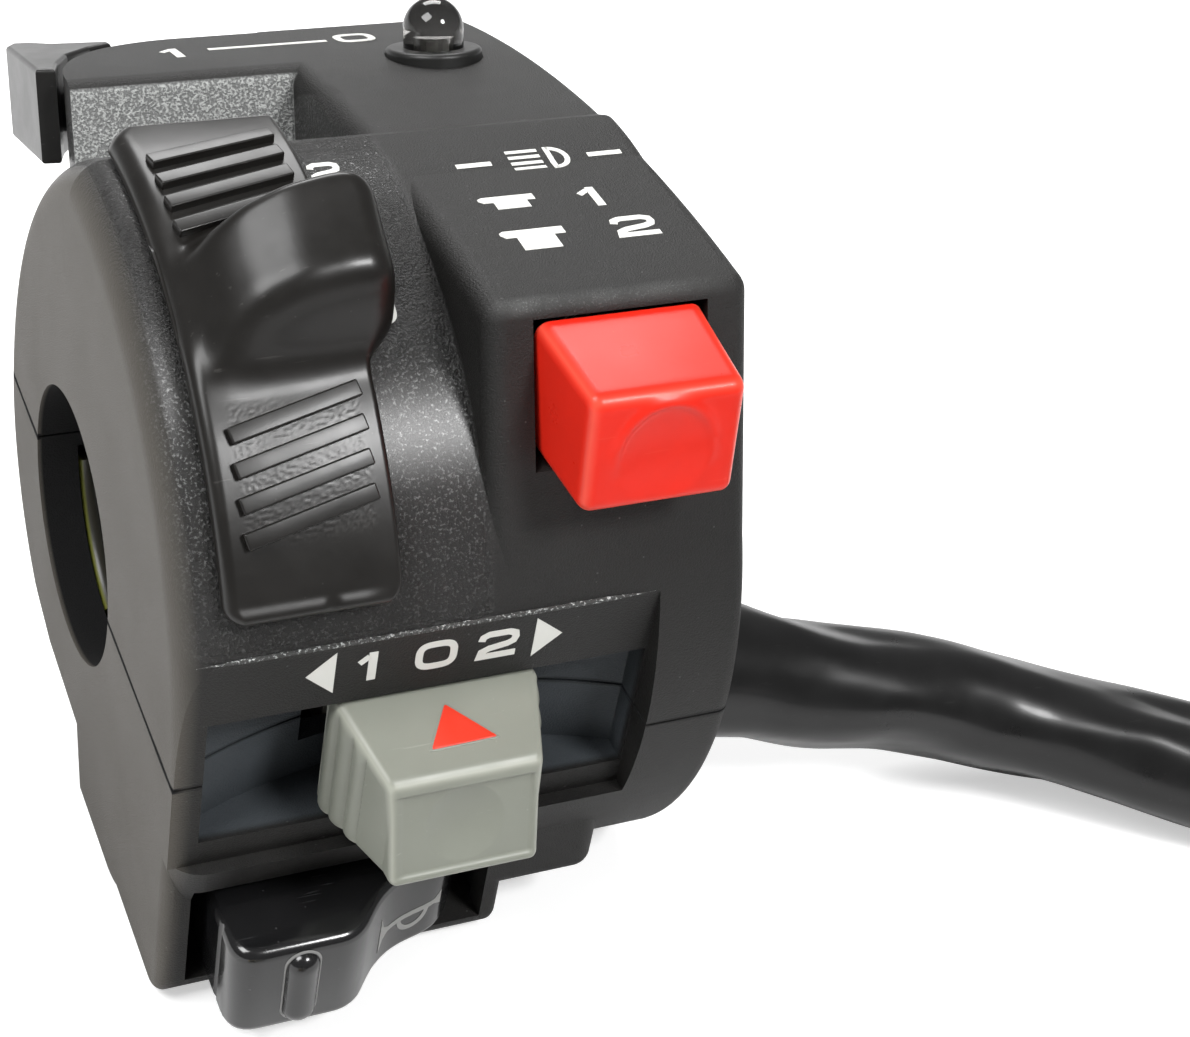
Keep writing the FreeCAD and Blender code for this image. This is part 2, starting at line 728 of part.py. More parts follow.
carriage_half = 5.6
carriage_front = panel_y + tray_depth + tray_wall + 0.2
carriage_back = carriage_front + 5.0
socket_end = carriage_back - 1.4
carriage = box(m - carriage_half, m + carriage_half, carriage_front, carriage_back, -5.0, 5.0)
socket = box(m - neck_x / 2 - 0.08, m + neck_x / 2 + 0.08, carriage_front - 1.0, socket_end,
             -neck_z / 2 - 0.08, neck_z / 2 + 0.08)
turn_ball_r = 0.9
turn_ball_y = carriage_back - turn_ball_r + 0.15
turn_bore_end = carriage_back - 3.6
turn_bore = rod_y(turn_ball_r, turn_bore_end, carriage_back + 1.0, m, 3.8)
turn_brush = box(m - 3.5, m + 3.5, carriage_back - 0.5, carriage_back, -4.3, -2.9)
carriage = carriage.cut(socket).cut(turn_bore).cut(turn_brush)
save("turn_carriage", carriage)
save("turn_brush", turn_brush)
save("turn_detent_ball", Part.makeSphere(turn_ball_r, V(m, turn_ball_y, 3.8)))
turn_spring_end = turn_ball_y - 0.78
turn_spring_start = turn_bore_end + 0.12
save("turn_detent_spring", spring(0.65, 0.15, 2, turn_spring_end - turn_spring_start,
                                  V(m, turn_spring_start, 3.8), V(0, 1, 0)))
save("turn_push_spring", spring(1.6, 0.2, 2, socket_end - neck_end - 0.42,
                                V(m, neck_end + 0.21, 0.0), V(0, 1, 0)))
turn_base_y = carriage_back + 0.2
turn_base = box(end_wall, grey_mid + 10.5, turn_base_y, turn_base_y + 1.5, -6.2, 6.4)
turn_pads = [box(x - 1.6, x + 1.6, turn_base_y, turn_base_y + 0.6, -4.4, -2.8) for x in (m - 6.5, m, m + 6.5)]
save("turn_base", turn_base.cut(Part.makeCompound(turn_pads)))
save("turn_contacts", Part.makeCompound(turn_pads))

# Horn lever on its pin

px, py = horn_pin_x, horn_pin_y
horn_steps = [((horn_x0, -34.2),),
              ((horn_x0 + 0.25, -34.75), (horn_x0 + 0.8, horn_nose_y)),
              ((horn_nose_x - 1.2, horn_nose_y),),
              ((horn_nose_x - 0.3, -34.6), (horn_nose_x + 0.4, -33.9)),
              ((16.2, -31.4), (20.4, -29.6)),
              ((23.6, -27.6), (25.4, -23.9)),
              ((px + 2.6, py), (px + 1.0, py + 2.4)),
              ((6.0, -23.4),),
              ((horn_x0, -24.6),)]
horn = prism_z((horn_x0, -24.6), horn_steps, horn_lever_low, horn_lever_top)
horn = rounded(horn, 0.7, lambda e: e.BoundBox.YMax < -26.0 and e.BoundBox.ZLength < 0.01
               and e.BoundBox.YMin < -34.0 and e.Length > 5)
hub_relief = rod_z(3.4, horn_lever_top - 2.0, horn_lever_top + 0.6, px, py)
horn = horn.cut(hub_relief)
nub_x = 8.9
nub = rod_z(1.35, horn_lever_low + 1.0, horn_lever_top - 1.6, nub_x, horn_nose_y + 0.35)
horn = fused(horn, [nub])
horn = horn.cut(rod_z(horn_pin_r + 0.05, -25.0, -10.0, px, py))
horn_strip = box(7.0, 10.0, -24.2, -22.2, -18.5, -15.5)
horn_moving = horn_strip.cut(horn)
save("horn_lever", horn)
save("horn_contact_moving", horn_moving)
horn_base_low = horn_top + 0.3
horn_pin_top = horn_base_low + 1.3
horn_spring_low = horn_lever_top - 1.75
save("horn_pin", rod_z(horn_pin_r, horn_floor - 1.2, horn_pin_top, px, py))
save("horn_spring", spring(1.75, 0.22, 3, horn_base_low - 0.25 - horn_spring_low, V(px, py, horn_spring_low),
                           V(0, 0, 1)))
horn_base = box(end_wall, horn_frame_end, horn_front + wall, -14.0, horn_base_low, horn_base_low + 1.6)
save("horn_base", horn_base.cut(rod_z(horn_pin_r, horn_base_low - 1.0, horn_pin_top, px, py)))
save("horn_contact_fixed", box(6.5, 10.5, -19.2, -18.7, -18.5, horn_base_low))

# Kill lever and its switch, laid out in the tilted frame

kx, ky = kill_pivot
kill_points = [(3.2, 26.4), (4.0, 27.8), (5.4, 27.6), (7.0, 26.3), (11.5, 25.4), (11.5, 24.4), (9.4, 23.1),
               (6.9, 20.4), (5.4, 17.1), (4.5, 14.2)]
kill_paddle = prism_z((3.0, 14.6), corners(kill_points), kill_low, kill_high)
kill_paddle = rounded(kill_paddle, 0.35, lambda e: e.BoundBox.ZMin > kill_high - 0.01
                      or e.BoundBox.ZMax < kill_low + 0.01)
kill_arm = box(2.0, 9.6, -kill_arm_w / 2, kill_arm_w / 2, kill_arm_low, kill_arm_high)
kill_arm.rotate(V(0, 0, 0), V(0, 0, 1), 150.0)
kill_arm.translate(V(kx, ky, 0))
base_top = 23.5
base_low = base_top - 2.0
hub_low = base_top + 0.4
kill_hub = rod_z(kill_hub_r, hub_low, kill_arm_high, kx, ky)
kill_lever = fused(kill_paddle, [kill_arm, kill_hub])
kill_lever = kill_lever.cut(rod_z(kill_pin_r + 0.05, 20.0, 40.0, kx, ky))
kill_ball_r = 0.7
kill_ball_x = kx + 2.2
kill_ball_z = base_top + kill_ball_r + 0.05
kill_bore = rod_z(kill_ball_r, hub_low - 1.0, 27.0, kill_ball_x, ky)
kill_brush = box(kx - 2.9, kx - 1.4, ky - 0.7, ky + 0.7, hub_low, hub_low + 0.6)
kill_lever = kill_lever.cut(kill_bore).cut(kill_brush)
save("kill_lever", tilted(kill_lever))
save("kill_brush", tilted(kill_brush))
save("kill_detent_ball", tilted(Part.makeSphere(kill_ball_r, V(kill_ball_x, ky, kill_ball_z))))
kill_spring_low = kill_ball_z + 0.62
kill_coil = spring(0.5, 0.15, 2, 26.9 - kill_spring_low, V(kill_ball_x, ky, kill_spring_low), V(0, 0, 1))
save("kill_detent_spring", tilted(kill_coil))
start, steps = kill_plan(kill_wall, 23.0)
kill_base = prism_z(start, steps, base_low, base_top)
kill_pads = [rod_z(0.8, base_top - 0.5, base_top, kx + 2.15 * math.cos(math.radians(a)),
                   ky + 2.15 * math.sin(math.radians(a))) for a in (180.0, 150.0)]
kill_pads = [kill_pads[0].fuse(kill_pads[1]).removeSplitter()]
kill_base = kill_base.cut(kill_pads[0]).cut(rod_z(kill_pin_r, 19.0, 24.0, kx, ky))
save("kill_base", tilted(kill_base).cut(upper))
save("kill_contacts", tilted(kill_pads[0]))
pin_top = 31.0
save("kill_pin", tilted(rod_z(kill_pin_r, base_low, pin_top, kx, ky)))

# Indicator lamp

seat_y, seat_z = lamp_seat()
lamp_low = seat_z - 0.5
bezel = rod_z(lamp_bezel_r, lamp_low, seat_z + 0.75, lamp_x, seat_y)
bezel = rounded(bezel, 0.4, lambda e: e.BoundBox.ZMin > seat_z + 0.7)
bezel = bezel.cut(rod_z(lamp_r, lamp_low - 1.0, seat_z + 2.0, lamp_x, seat_y))
save("lamp_bezel", tilted(bezel))
dome_z = seat_z + lamp_high - lamp_r
lens = rod_z(lamp_r, lamp_low - 1.0, dome_z, lamp_x, seat_y)
lens = lens.fuse(Part.makeSphere(lamp_r, V(lamp_x, seat_y, dome_z))).removeSplitter()
lens_hole = rod_z(1.1, lamp_low - 2.0, seat_z + 1.6, lamp_x, seat_y)
save("lamp_lens", tilted(lens.cut(lens_hole)))
bulb = rod_z(1.1, lamp_low - 1.6, seat_z + 1.6, lamp_x, seat_y)
legs = [rod_z(0.25, lamp_low - 6.0, lamp_low - 1.0, lamp_x + dx, seat_y) for dx in (-0.7, 0.7)]
save("lamp_bulb", tilted(fused(bulb, legs)))

# Clamp screws, signal wire and cable

screws = []
for x, y in (front_screw, rear_screw):
    head = rod_z(screw_head_r, screw_seat - screw_head_h, screw_seat, x, y)
    head = rounded(head, 0.6, lambda e: e.BoundBox.ZMax < screw_seat - screw_head_h + 0.01)
    cross_low = screw_seat - screw_head_h - 1.0
    cross = box(x - 2.0, x + 2.0, y - 0.45, y + 0.45, cross_low, screw_seat - 1.4)
    cross = cross.fuse(box(x - 0.45, x + 0.45, y - 2.0, y + 2.0, cross_low, screw_seat - 1.4))
    shaft = rod_z(screw_r, screw_seat - 0.1, screw_top, x, y)
    screws.append(fused(head.cut(cross), [shaft]))
save("clamp_screws", Part.makeCompound(screws))

wire_x = wire_wall + 0.8
wire_a = on_shell(wire_mid_r, wire_low)
wire_b = on_shell(wire_mid_r, (wire_low + wire_high) / 2)
wire_c = on_shell(wire_mid_r, wire_high)
wire_path = Part.Wire([Part.Arc(V(wire_x, *wire_a), V(wire_x, *wire_b), V(wire_x, *wire_c)).toShape()])
wire_dir = wire_path.Edges[0].Curve.tangent(wire_path.Edges[0].FirstParameter)[0]
wire_round = Part.Wire([Part.makeCircle(0.8, V(wire_x, *wire_a), wire_dir)])
save("signal_wire", wire_path.makePipeShell([wire_round], True, True))

exit_point = V(*outlet)
exit_dir = V(*outlet_dir)
exit_dir.normalize()
gland = Part.makeCylinder(gland_r - 0.03, 7.2, exit_point - exit_dir * 5.0, exit_dir)
collar = Part.makeCylinder(sleeve_d / 2 + 0.4, 6.0, exit_point - exit_dir * 3.8, exit_dir)
collar = collar.cut(box(0.0, width, -60.0, 60.0, -60.0, 60.0))
gland = fused(gland, [collar])
save("sleeve_gland", gland)


def rounded_path(points):
    """Straight runs joined by tangent arcs, each radius set by the shorter run beside it."""
    edges = []
    here = points[0]
    for before, corner, after in zip(points, points[1:], points[2:]):
        into = corner - before
        out = after - corner
        short = min(into.Length, out.Length)
        turn = into.getAngle(out)
        tangent = 0.45 * short
        radius = tangent / math.tan(turn / 2)
        print("cable arc radius", round(radius, 1), "turn", round(math.degrees(turn), 1))
        into.normalize()
        out.normalize()
        first = corner - into * tangent
        last = corner + out * tangent
        inward = out - into
        inward.normalize()
        centre = corner + inward * math.sqrt(radius ** 2 + tangent ** 2)
        middle = centre - inward * radius
        edges.append(Part.LineSegment(here, first).toShape())
        edges.append(Part.Arc(first, middle, last).toShape())
        here = last
    edges.append(Part.LineSegment(here, points[-1]).toShape())
    return Part.Wire(edges)


sleeve_start = exit_point + exit_dir * 2.2
cable_points = [sleeve_start, exit_point + exit_dir * first_run] + [V(*p) for p in cable_route]
cable_path = rounded_path(cable_points)
first_dir = cable_points[1] - cable_points[0]
sleeve_round = Part.Wire([Part.makeCircle(sleeve_d / 2, cable_points[0], first_dir)])
sleeve = cable_path.makePipeShell([sleeve_round], True, True)
print("cable length", round(cable_path.Length, 1), "volume by length",
      round(math.pi * sleeve_d ** 2 / 4 * cable_path.Length), "volume", round(sleeve.Volume))
save("cable_sleeve", sleeve)

plug_wide, plug_high, plug_long = plug_size
last_dir = cable_points[-1] - cable_points[-2]
last_dir.normalize()
heading = math.degrees(math.atan2(last_dir.y, last_dir.x))
plug = box(0.0, plug_long, -plug_wide / 2, plug_wide / 2, -plug_high / 2, plug_high / 2)
plug = rounded(plug, 1.2, lambda e: e.BoundBox.XLength > plug_long - 0.1)
plug = plug.cut(box(plug_long - 2.0, plug_long + 1.0, -plug_wide / 2 + 1.3, plug_wide / 2 - 1.3,
                    -plug_high / 2 + 1.3, plug_high / 2 - 1.3))
plug.rotate(V(0, 0, 0), V(0, 0, 1), heading)
plug.translate(cable_points[-1])
save("harness_connector", plug)
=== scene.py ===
import bpy
import bmesh
import math
import numpy as np
from mathutils import Matrix, Vector, noise
from mathutils.bvhtree import BVHTree


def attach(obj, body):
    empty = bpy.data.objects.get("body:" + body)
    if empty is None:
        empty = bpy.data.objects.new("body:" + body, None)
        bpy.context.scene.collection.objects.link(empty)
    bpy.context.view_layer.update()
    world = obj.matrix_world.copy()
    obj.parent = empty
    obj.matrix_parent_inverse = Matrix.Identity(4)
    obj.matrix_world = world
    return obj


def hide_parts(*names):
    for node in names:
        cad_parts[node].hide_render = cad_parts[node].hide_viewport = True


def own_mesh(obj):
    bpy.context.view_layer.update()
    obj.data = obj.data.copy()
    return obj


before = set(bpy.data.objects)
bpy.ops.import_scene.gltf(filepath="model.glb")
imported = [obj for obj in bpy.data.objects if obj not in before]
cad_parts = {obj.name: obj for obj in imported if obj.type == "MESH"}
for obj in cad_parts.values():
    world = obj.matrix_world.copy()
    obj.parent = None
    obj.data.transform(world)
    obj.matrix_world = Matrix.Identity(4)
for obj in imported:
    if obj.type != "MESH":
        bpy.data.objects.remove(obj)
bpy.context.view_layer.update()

# Camera, floor and lights.
# The camera stands above and to the left of the grip end, as the photograph was taken, with the bar's
# axis running away to the right. The stage is a plain white floor under soft lamps.
scene = bpy.context.scene
scene.view_settings.view_transform = "Standard"


def linked(name, data):
    thing = bpy.data.objects.new(name, data)
    scene.collection.objects.link(thing)
    return thing


camera_data = bpy.data.cameras.new("photo_camera")
camera_data.sensor_fit = "HORIZONTAL"
camera_data.sensor_width = 36
camera_data.lens = 75.85
camera_data.clip_start = 0.01
camera = linked("photo_camera", camera_data)
camera_right = Vector((0.9105, -0.3833, 0.1549)).normalized()
camera_forward = Vector((0.3877, 0.6616, -0.6419)).normalized()
camera_turn = Matrix((camera_right, camera_right.cross(camera_forward), -camera_forward)).transposed()
camera.matrix_world = Matrix.Translation((-0.03843, -0.14426, 0.13192)) @ camera_turn.to_4x4()
scene.camera = camera


def fill(tree, inputs, sockets):
    """Sets a node's inputs, each to a value or another node's output."""
    for name, value in sockets.items():
        if isinstance(value, bpy.types.NodeSocket):
            tree.links.new(value, inputs[name])
        else:
            inputs[name].default_value = value


def add_node(tree, kind, sockets=None, **settings):
    """A new node with its own settings and its inputs filled."""
    node = tree.nodes.new(kind)
    for key, value in settings.items():
        setattr(node, key, value)
    fill(tree, node.inputs, sockets or {})
    return node


def maths(tree, operation, first, second=0):
    return add_node(tree, "ShaderNodeMath", {0: first, 1: second}, operation=operation).outputs[0]


def ranged(tree, value, low=0, high=1, to_low=0, to_high=1):
    """A value carried from one range to another and held inside it."""
    sockets = {"Value": value, "From Min": low, "From Max": high, "To Min": to_low, "To Max": to_high}
    return add_node(tree, "ShaderNodeMapRange", sockets).outputs["Result"]


def object_place(tree):
    return add_node(tree, "ShaderNodeTexCoord").outputs["Object"]


def raw_mesh(name, points, faces):
    mesh = bpy.data.meshes.new(name)
    mesh.from_pydata([tuple(p) for p in points], [], faces)
    return mesh


floor_z = -0.0247
floor_corners = [(-4, -4, floor_z), (4, -4, floor_z), (4, 4, floor_z), (-4, 4, floor_z)]
floor = linked("floor", raw_mesh("floor", floor_corners, [(0, 1, 2, 3)]))
floor_paint = bpy.data.materials.new("floor_paint")
floor_paint.use_nodes = True
tree = floor_paint.node_tree
matte = tree.nodes["Principled BSDF"]
fill(tree, matte.inputs, {"Base Color": (0.8, 0.8, 0.8, 1), "Roughness": 0.9})
seen = add_node(tree, "ShaderNodeLightPath").outputs
seen_ray = maths(tree, "MAXIMUM", seen["Is Camera Ray"], seen["Is Transmission Ray"])
away = add_node(tree, "ShaderNodeVectorMath", {0: object_place(tree)}, operation="LENGTH").outputs["Value"]
glow_strength = maths(tree, "MULTIPLY", seen_ray, ranged(tree, away, 0.2, 0.8, 0.5, 0.85))
glow = add_node(tree, "ShaderNodeEmission", {"Strength": glow_strength})
lit_floor = add_node(tree, "ShaderNodeAddShader", {0: matte.outputs[0], 1: glow.outputs[0]}).outputs[0]
fill(tree, tree.nodes["Material Output"].inputs, {"Surface": lit_floor})
floor.data.materials.append(floor_paint)

world = bpy.data.worlds.new("studio")
scene.world = world
world.use_nodes = True
tree = world.node_tree
camera_ray = add_node(tree, "ShaderNodeLightPath").outputs["Is Camera Ray"]
fill(tree, tree.nodes["Background"].inputs, {"Color": (1, 1, 1, 1), "Strength": ranged(tree, camera_ray, to_low=0.2)})

aim = Vector((0.02, 0, 0))
for name, place, width, depth, power in (
        ("key_lamp", (-0.35, -0.05, 0.6), 0.35, 0.35, 4.1),
        ("front_lamp", (0.27, -0.42, 0.58), 0.17, 0.17, 3.8),
        ("back_lamp", (0.15, 0.6, 0.5), 0.5, 0.3, 4.6)):
    lamp_data = bpy.data.lights.new(name, "AREA")
    lamp_data.shape = "RECTANGLE"
    lamp_data.size = width
    lamp_data.size_y = depth
    lamp_data.energy = power
    lamp_turn = (aim - Vector(place)).to_track_quat("-Z", "Y").to_matrix().to_4x4()
    linked(name, lamp_data).matrix_world = Matrix.Translation(place) @ lamp_turn

# Cable sleeve.
# Soft black vinyl tubing over the wires, twelve millimetres wide. It is pushed over a gland in the lower half, goes
# slack and wrinkled straight away, and lies on the floor in one loose loop that ends in the harness plug.
route = [(45.1, -17.4, -8.7), (67, -19.45, -14.7), (84, -25.8, -18.5), (113.5, -46.1, -18.5),
         (123.1, -91.1, -18.5), (99.4, -130.5, -18.5), (55.2, -143.2, -18.5), (14.2, -122.3, -18.5),
         (1.8, -84.3, -18.5)]
line_data = bpy.data.curves.new("sleeve_line", "CURVE")
line_data.dimensions = "3D"
spline = line_data.splines.new("NURBS")
spline.points.add(len(route) - 1)
for point, place in zip(spline.points, route):
    point.co = (place[0] / 1000, place[1] / 1000, place[2] / 1000, 1)
spline.order_u = 3
spline.use_endpoint_u = True
line_data.resolution_u = 40
sleeve_line = linked("sleeve_line", line_data)


def evaluated_mesh(thing):
    """A new mesh of an object, its modifiers or curve worked out."""
    bpy.context.view_layer.update()
    return bpy.data.meshes.new_from_object(thing.evaluated_get(bpy.context.evaluated_depsgraph_get()))


sleeve_path = [v.co.copy() for v in evaluated_mesh(sleeve_line).vertices]
bpy.data.objects.remove(sleeve_line)


def clamped(value):
    return min(1, max(0, value))


def ring_faces(rings, around, first=0, closed=False, capped=False):
    """Quads between rings of points in a row, joined end to end if closed."""
    faces = []
    for i in range(rings if closed else rings - 1):
        here, there = first + i * around, first + (i + 1) % rings * around
        for j in range(around):
            k = (j + 1) % around
            faces.append((here + j, here + k, there + k, there + j))
    for end in (0, rings - 1) if capped else ():
        faces.append(tuple(range(first + end * around, first + (end + 1) * around)))
    return faces


around = 72
sleeve_r = 6
fullest = 28
grooves = ((2.75, -0.034, 0.5, -1.25), (1, 0.014, 0.6, -0.85), (4.2, 0.02, 0.6, -0.55), (5.6, -0.018, 0.45, -0.4))
points = []
walked = 0
previous = sleeve_path[0]
whole = sum((b - a).length for a, b in zip(sleeve_path, sleeve_path[1:])) * 1000
for step, centre in enumerate(sleeve_path):
    ahead = (sleeve_path[min(step + 1, len(sleeve_path) - 1)] - sleeve_path[max(step - 1, 0)]).normalized()
    walked += (centre - previous).length * 1000
    previous = centre
    side = ahead.cross(Vector((0, 0, 1))).normalized()
    lift = side.cross(ahead).normalized()
    slack = clamped((walked - 1) / 7) * clamped((whole - walked) / 6)
    full = math.exp(-((walked - fullest) / 20) ** 2)
    flat = slack * (0.09 * (1 - full) * math.sin(walked * 0.085 + 0.6) - 0.13 * full)
    for turn in range(around):
        phi = 2 * math.pi * turn / around
        radius = sleeve_r * (1 + flat * math.cos(2 * phi + 0.035 * walked))
        for start, drift, width, depth in grooves:
            middle = start + drift * walked + 0.35 * math.sin(walked * 0.11 + start)
            off = (phi - middle + math.pi) % (2 * math.pi) - math.pi
            swing = 0.55 + 0.45 * math.sin(walked * 0.13 + 2.1 * start)
            radius += slack * depth * swing * math.exp(-(off / width) ** 2)
        spot = Vector((math.cos(phi) * 1.1, math.sin(phi) * 1.1, walked * 0.09))
        radius += slack * 0.6 * noise.noise(spot) + slack * 0.07 * noise.noise(spot * 2.7)
        radius = min(radius, 6.4 + 0.5 * full)
        points.append(centre + (side * math.cos(phi) + lift * math.sin(phi)) * radius / 1000)
        points[-1].z = max(points[-1].z, floor_z + 0.0002)
faces = ring_faces(len(sleeve_path), around)
for end, first in ((sleeve_path[0], 0), (sleeve_path[-1], len(points) - around)):
    points.append(end)
    faces += [(first + j, first + (j + 1) % around, len(points) - 1) for j in range(around)]


def smooth_mesh(mesh, degrees):
    """Smooth shading that keeps the edges sharper than some degrees."""
    for polygon in mesh.polygons:
        polygon.use_smooth = True
    mesh.set_sharp_from_angle(angle=math.radians(degrees))


def new_piece(name, points, faces, material, body, stands_for=(), smooth=40, edge=None):
    """A mesh in metres at the origin, its normals turned outwards, riding on its body."""
    mesh = raw_mesh(name, points, faces)
    if edge is not None:
        mesh.attributes.new("edge", "FLOAT", "POINT").data.foreach_set("value", list(edge))
    shape = bmesh.new()
    shape.from_mesh(mesh)
    bmesh.ops.recalc_face_normals(shape, faces=shape.faces)
    shape.to_mesh(mesh)
    shape.free()
    smooth_mesh(mesh, smooth)
    mesh.materials.append(material)
    piece = linked(name, mesh)
    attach(piece, body)
    if stands_for:
        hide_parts(*stands_for)
    return piece


def open_group(name, kind, inputs, outputs):
    """A node group with named sockets, its inner ends and its sockets' identifiers."""
    group = bpy.data.node_groups.new(name, kind)
    identifiers = {}
    for way, sockets in (("INPUT", inputs), ("OUTPUT", outputs)):
        for label, sort in sockets.items():
            socket = group.interface.new_socket(label, in_out=way, socket_type="NodeSocket" + sort)
            identifiers[label] = socket.identifier
    given, made = group.nodes.new("NodeGroupInput").outputs, group.nodes.new("NodeGroupOutput").inputs
    return group, given, made, identifiers


def cloud(tree, place, scale, detail=2, roughness=0.5):
    sockets = {"Vector": place, "Scale": scale, "Detail": detail, "Roughness": roughness}
    return add_node(tree, "ShaderNodeTexNoise", sockets).outputs["Fac"]


def stretched(tree, place, scale, rotation=(0, 0, 0)):
    sockets = {"Vector": place, "Rotation": rotation, "Scale": scale}
    return add_node(tree, "ShaderNodeMapping", sockets).outputs["Vector"]


def blended(tree, factor, *tones):
    """Two colours, each an output or three numbers, mixed by a mask."""
    first, second = [tone if isinstance(tone, bpy.types.NodeSocket) else (*tone, 1) for tone in tones]
    sockets = {"Factor": factor, "A": first, "B": second}
    return add_node(tree, "ShaderNodeMix", sockets, data_type="RGBA").outputs["Result"]


def new_material(name):
    """A material, its node tree and the inputs of its Principled shader."""
    material = bpy.data.materials.new(name)
    material.use_nodes = True
    return material, material.node_tree, material.node_tree.nodes["Principled BSDF"].inputs


marks_out = {"Smear": "Float", "Dust": "Float", "Scratch": "Float"}
wear, given, made, identifiers = open_group("handling_wear", "ShaderNodeTree", {}, marks_out)
place = object_place(wear)
smear = cloud(wear, place, 220, 5, 0.6)
dust = add_node(wear, "ShaderNodeTexVoronoi", {"Vector": place, "Scale": 1100}).outputs["Distance"]
few = ranged(wear, cloud(wear, place, 310), 0.5, 0.62)
scratch = cloud(wear, stretched(wear, place, (1, 22, 17), (0.4, 0.7, 0.5)), 150, 6)
fill(wear, made, {"Smear": smear, "Dust": maths(wear, "MULTIPLY", ranged(wear, dust, 0.1, 0.05), few),
                  "Scratch": ranged(wear, scratch, 0.67, 0.73)})


def moulded_finish(name, colour, worn_colour, roughness, coat=0, marks=0.3, spread=0.35, edges=0, bump=0.12,
                   specular=0.5):
    """Moulded plastic that varies with smears, dust, scratches and worn edges."""
    material, tree, shader = new_material(name)
    used = add_node(tree, "ShaderNodeGroup", node_tree=wear).outputs
    smeared = blended(tree, used["Smear"], *[[c * part for c in colour] for part in (1 - spread, 1 + spread)])
    worn = maths(tree, "MULTIPLY", maths(tree, "MAXIMUM", used["Dust"], used["Scratch"]), marks)
    if edges:
        rounded = add_node(tree, "ShaderNodeAttribute", attribute_name="edge").outputs["Fac"]
        worn = maths(tree, "MAXIMUM", maths(tree, "MULTIPLY", rounded, edges), worn)
    uneven = add_node(tree, "ShaderNodeBump", {"Strength": bump, "Distance": 0.0002, "Height": used["Smear"]})
    fill(tree, shader, {
        "Coat Weight": coat, "Coat Roughness": 0.12, "Specular IOR Level": specular,
        "Base Color": blended(tree, worn, smeared, worn_colour), "Normal": uneven.outputs["Normal"],
        "Roughness": ranged(tree, used["Smear"], to_low=roughness * 0.7, to_high=roughness * 1.35)})
    return material


sleeve_vinyl = moulded_finish(
    "sleeve_vinyl", (0.009, 0.0089, 0.009), (0.07, 0.07, 0.068), 0.3, coat=0.1, marks=0.12, bump=0.06, specular=0.35)
sleeve = new_piece("cable_sleeve_skin", points, faces, sleeve_vinyl, "housing", ["cable_sleeve"], 60)

# Harness plug.
# Off-white nylon connector crimped on the wires inside the sleeve's end. It is injection moulded, with six cavities
# for brass blades and a latch on its upper side.
plug_size = (25, 14, 11)
plug_turn = Matrix.Translation((0.0018, -0.0843, -0.0185)) @ Matrix.Rotation(math.atan2(38, -12.4), 4, "Z")


def arc_spacing(half, radius, cells, steps):
    """Grid lines from -half to half, closer where the rounded edge needs them."""
    flat_half = half - radius
    low = [-flat_half - radius * math.tan(math.pi / 4 * (steps - i) / steps) for i in range(steps)]
    return low + list(np.linspace(-flat_half, flat_half, cells + 1)) + [-v for v in reversed(low)]


def rounded_block(size, radius, cells, steps=5):
    """Points, quads and edge roundness of a rounded cuboid, in millimetres."""
    half = [v / 2 for v in size]
    lines = [arc_spacing(h, radius, c, steps) for h, c in zip(half, cells)]
    corner_tilt = 0.29
    points, faces, edge, seen = [], [], [], {}

    def corner_at(raw):
        key = tuple(round(v, 5) for v in raw)
        if key not in seen:
            inner = [max(-(h - radius), min(h - radius, v)) for v, h in zip(raw, half)]
            out = Vector([v - w for v, w in zip(raw, inner)])
            out.normalize()
            seen[key] = len(points)
            points.append([w + radius * v for w, v in zip(inner, out)])
            edge.append(min(1, (1 - max(abs(v) for v in out)) / corner_tilt))
        return seen[key]

    for axis in range(3):
        a, b = [i for i in range(3) if i != axis]
        for side in (-half[axis], half[axis]):
            for a0, a1 in zip(lines[a], lines[a][1:]):
                for b0, b1 in zip(lines[b], lines[b][1:]):
                    quad = []
                    for here_a, here_b in ((a0, b0), (a1, b0), (a1, b1), (a0, b1)):
                        raw = [side] * 3
                        raw[a], raw[b] = here_a, here_b
                        quad.append(corner_at(raw))
                    faces.append(tuple(quad))
    return points, faces, edge


plug_nylon = moulded_finish("plug_nylon", (0.62, 0.6, 0.52), (0.32, 0.3, 0.25), 0.38, marks=0.25, spread=0.08)
plug_shape = bmesh.new()
bmesh.ops.create_cube(plug_shape, size=1)
for vert in plug_shape.verts:
    vert.co = Vector(((vert.co.x + 0.5) * plug_size[0], vert.co.y * plug_size[1], vert.co.z * plug_size[2])) / 1000
bmesh.ops.bevel(plug_shape, geom=plug_shape.edges[:], offset=0.0009, segments=3, affect="EDGES", profile=0.5)
plug_shape.faces.ensure_lookup_table()
mouth = max(plug_shape.faces, key=lambda f: (f.normal.x > 0.9) * f.calc_area())
for wall, depth in ((0.0007, 0), (0.0001, -0.0019)):
    bmesh.ops.inset_region(plug_shape, faces=[mouth], thickness=wall, depth=depth)
points, faces, edge = rounded_block((11, 5, 1.4), 0.5, (2, 1, 1), 3)
latch = [plug_shape.verts.new(Vector((p[0] + 14, p[1], p[2] + 5.9)) / 1000) for p in points]
for face in faces:
    plug_shape.faces.new([latch[i] for i in face])
bmesh.ops.transform(plug_shape, matrix=plug_turn, verts=plug_shape.verts[:])
plug_shape.verts.index_update()
points = [v.co for v in plug_shape.verts]
faces = [[v.index for v in face.verts] for face in plug_shape.faces]
plug = new_piece("harness_plug", points, faces, plug_nylon, "housing", ["harness_connector"])
plug_shape.free()


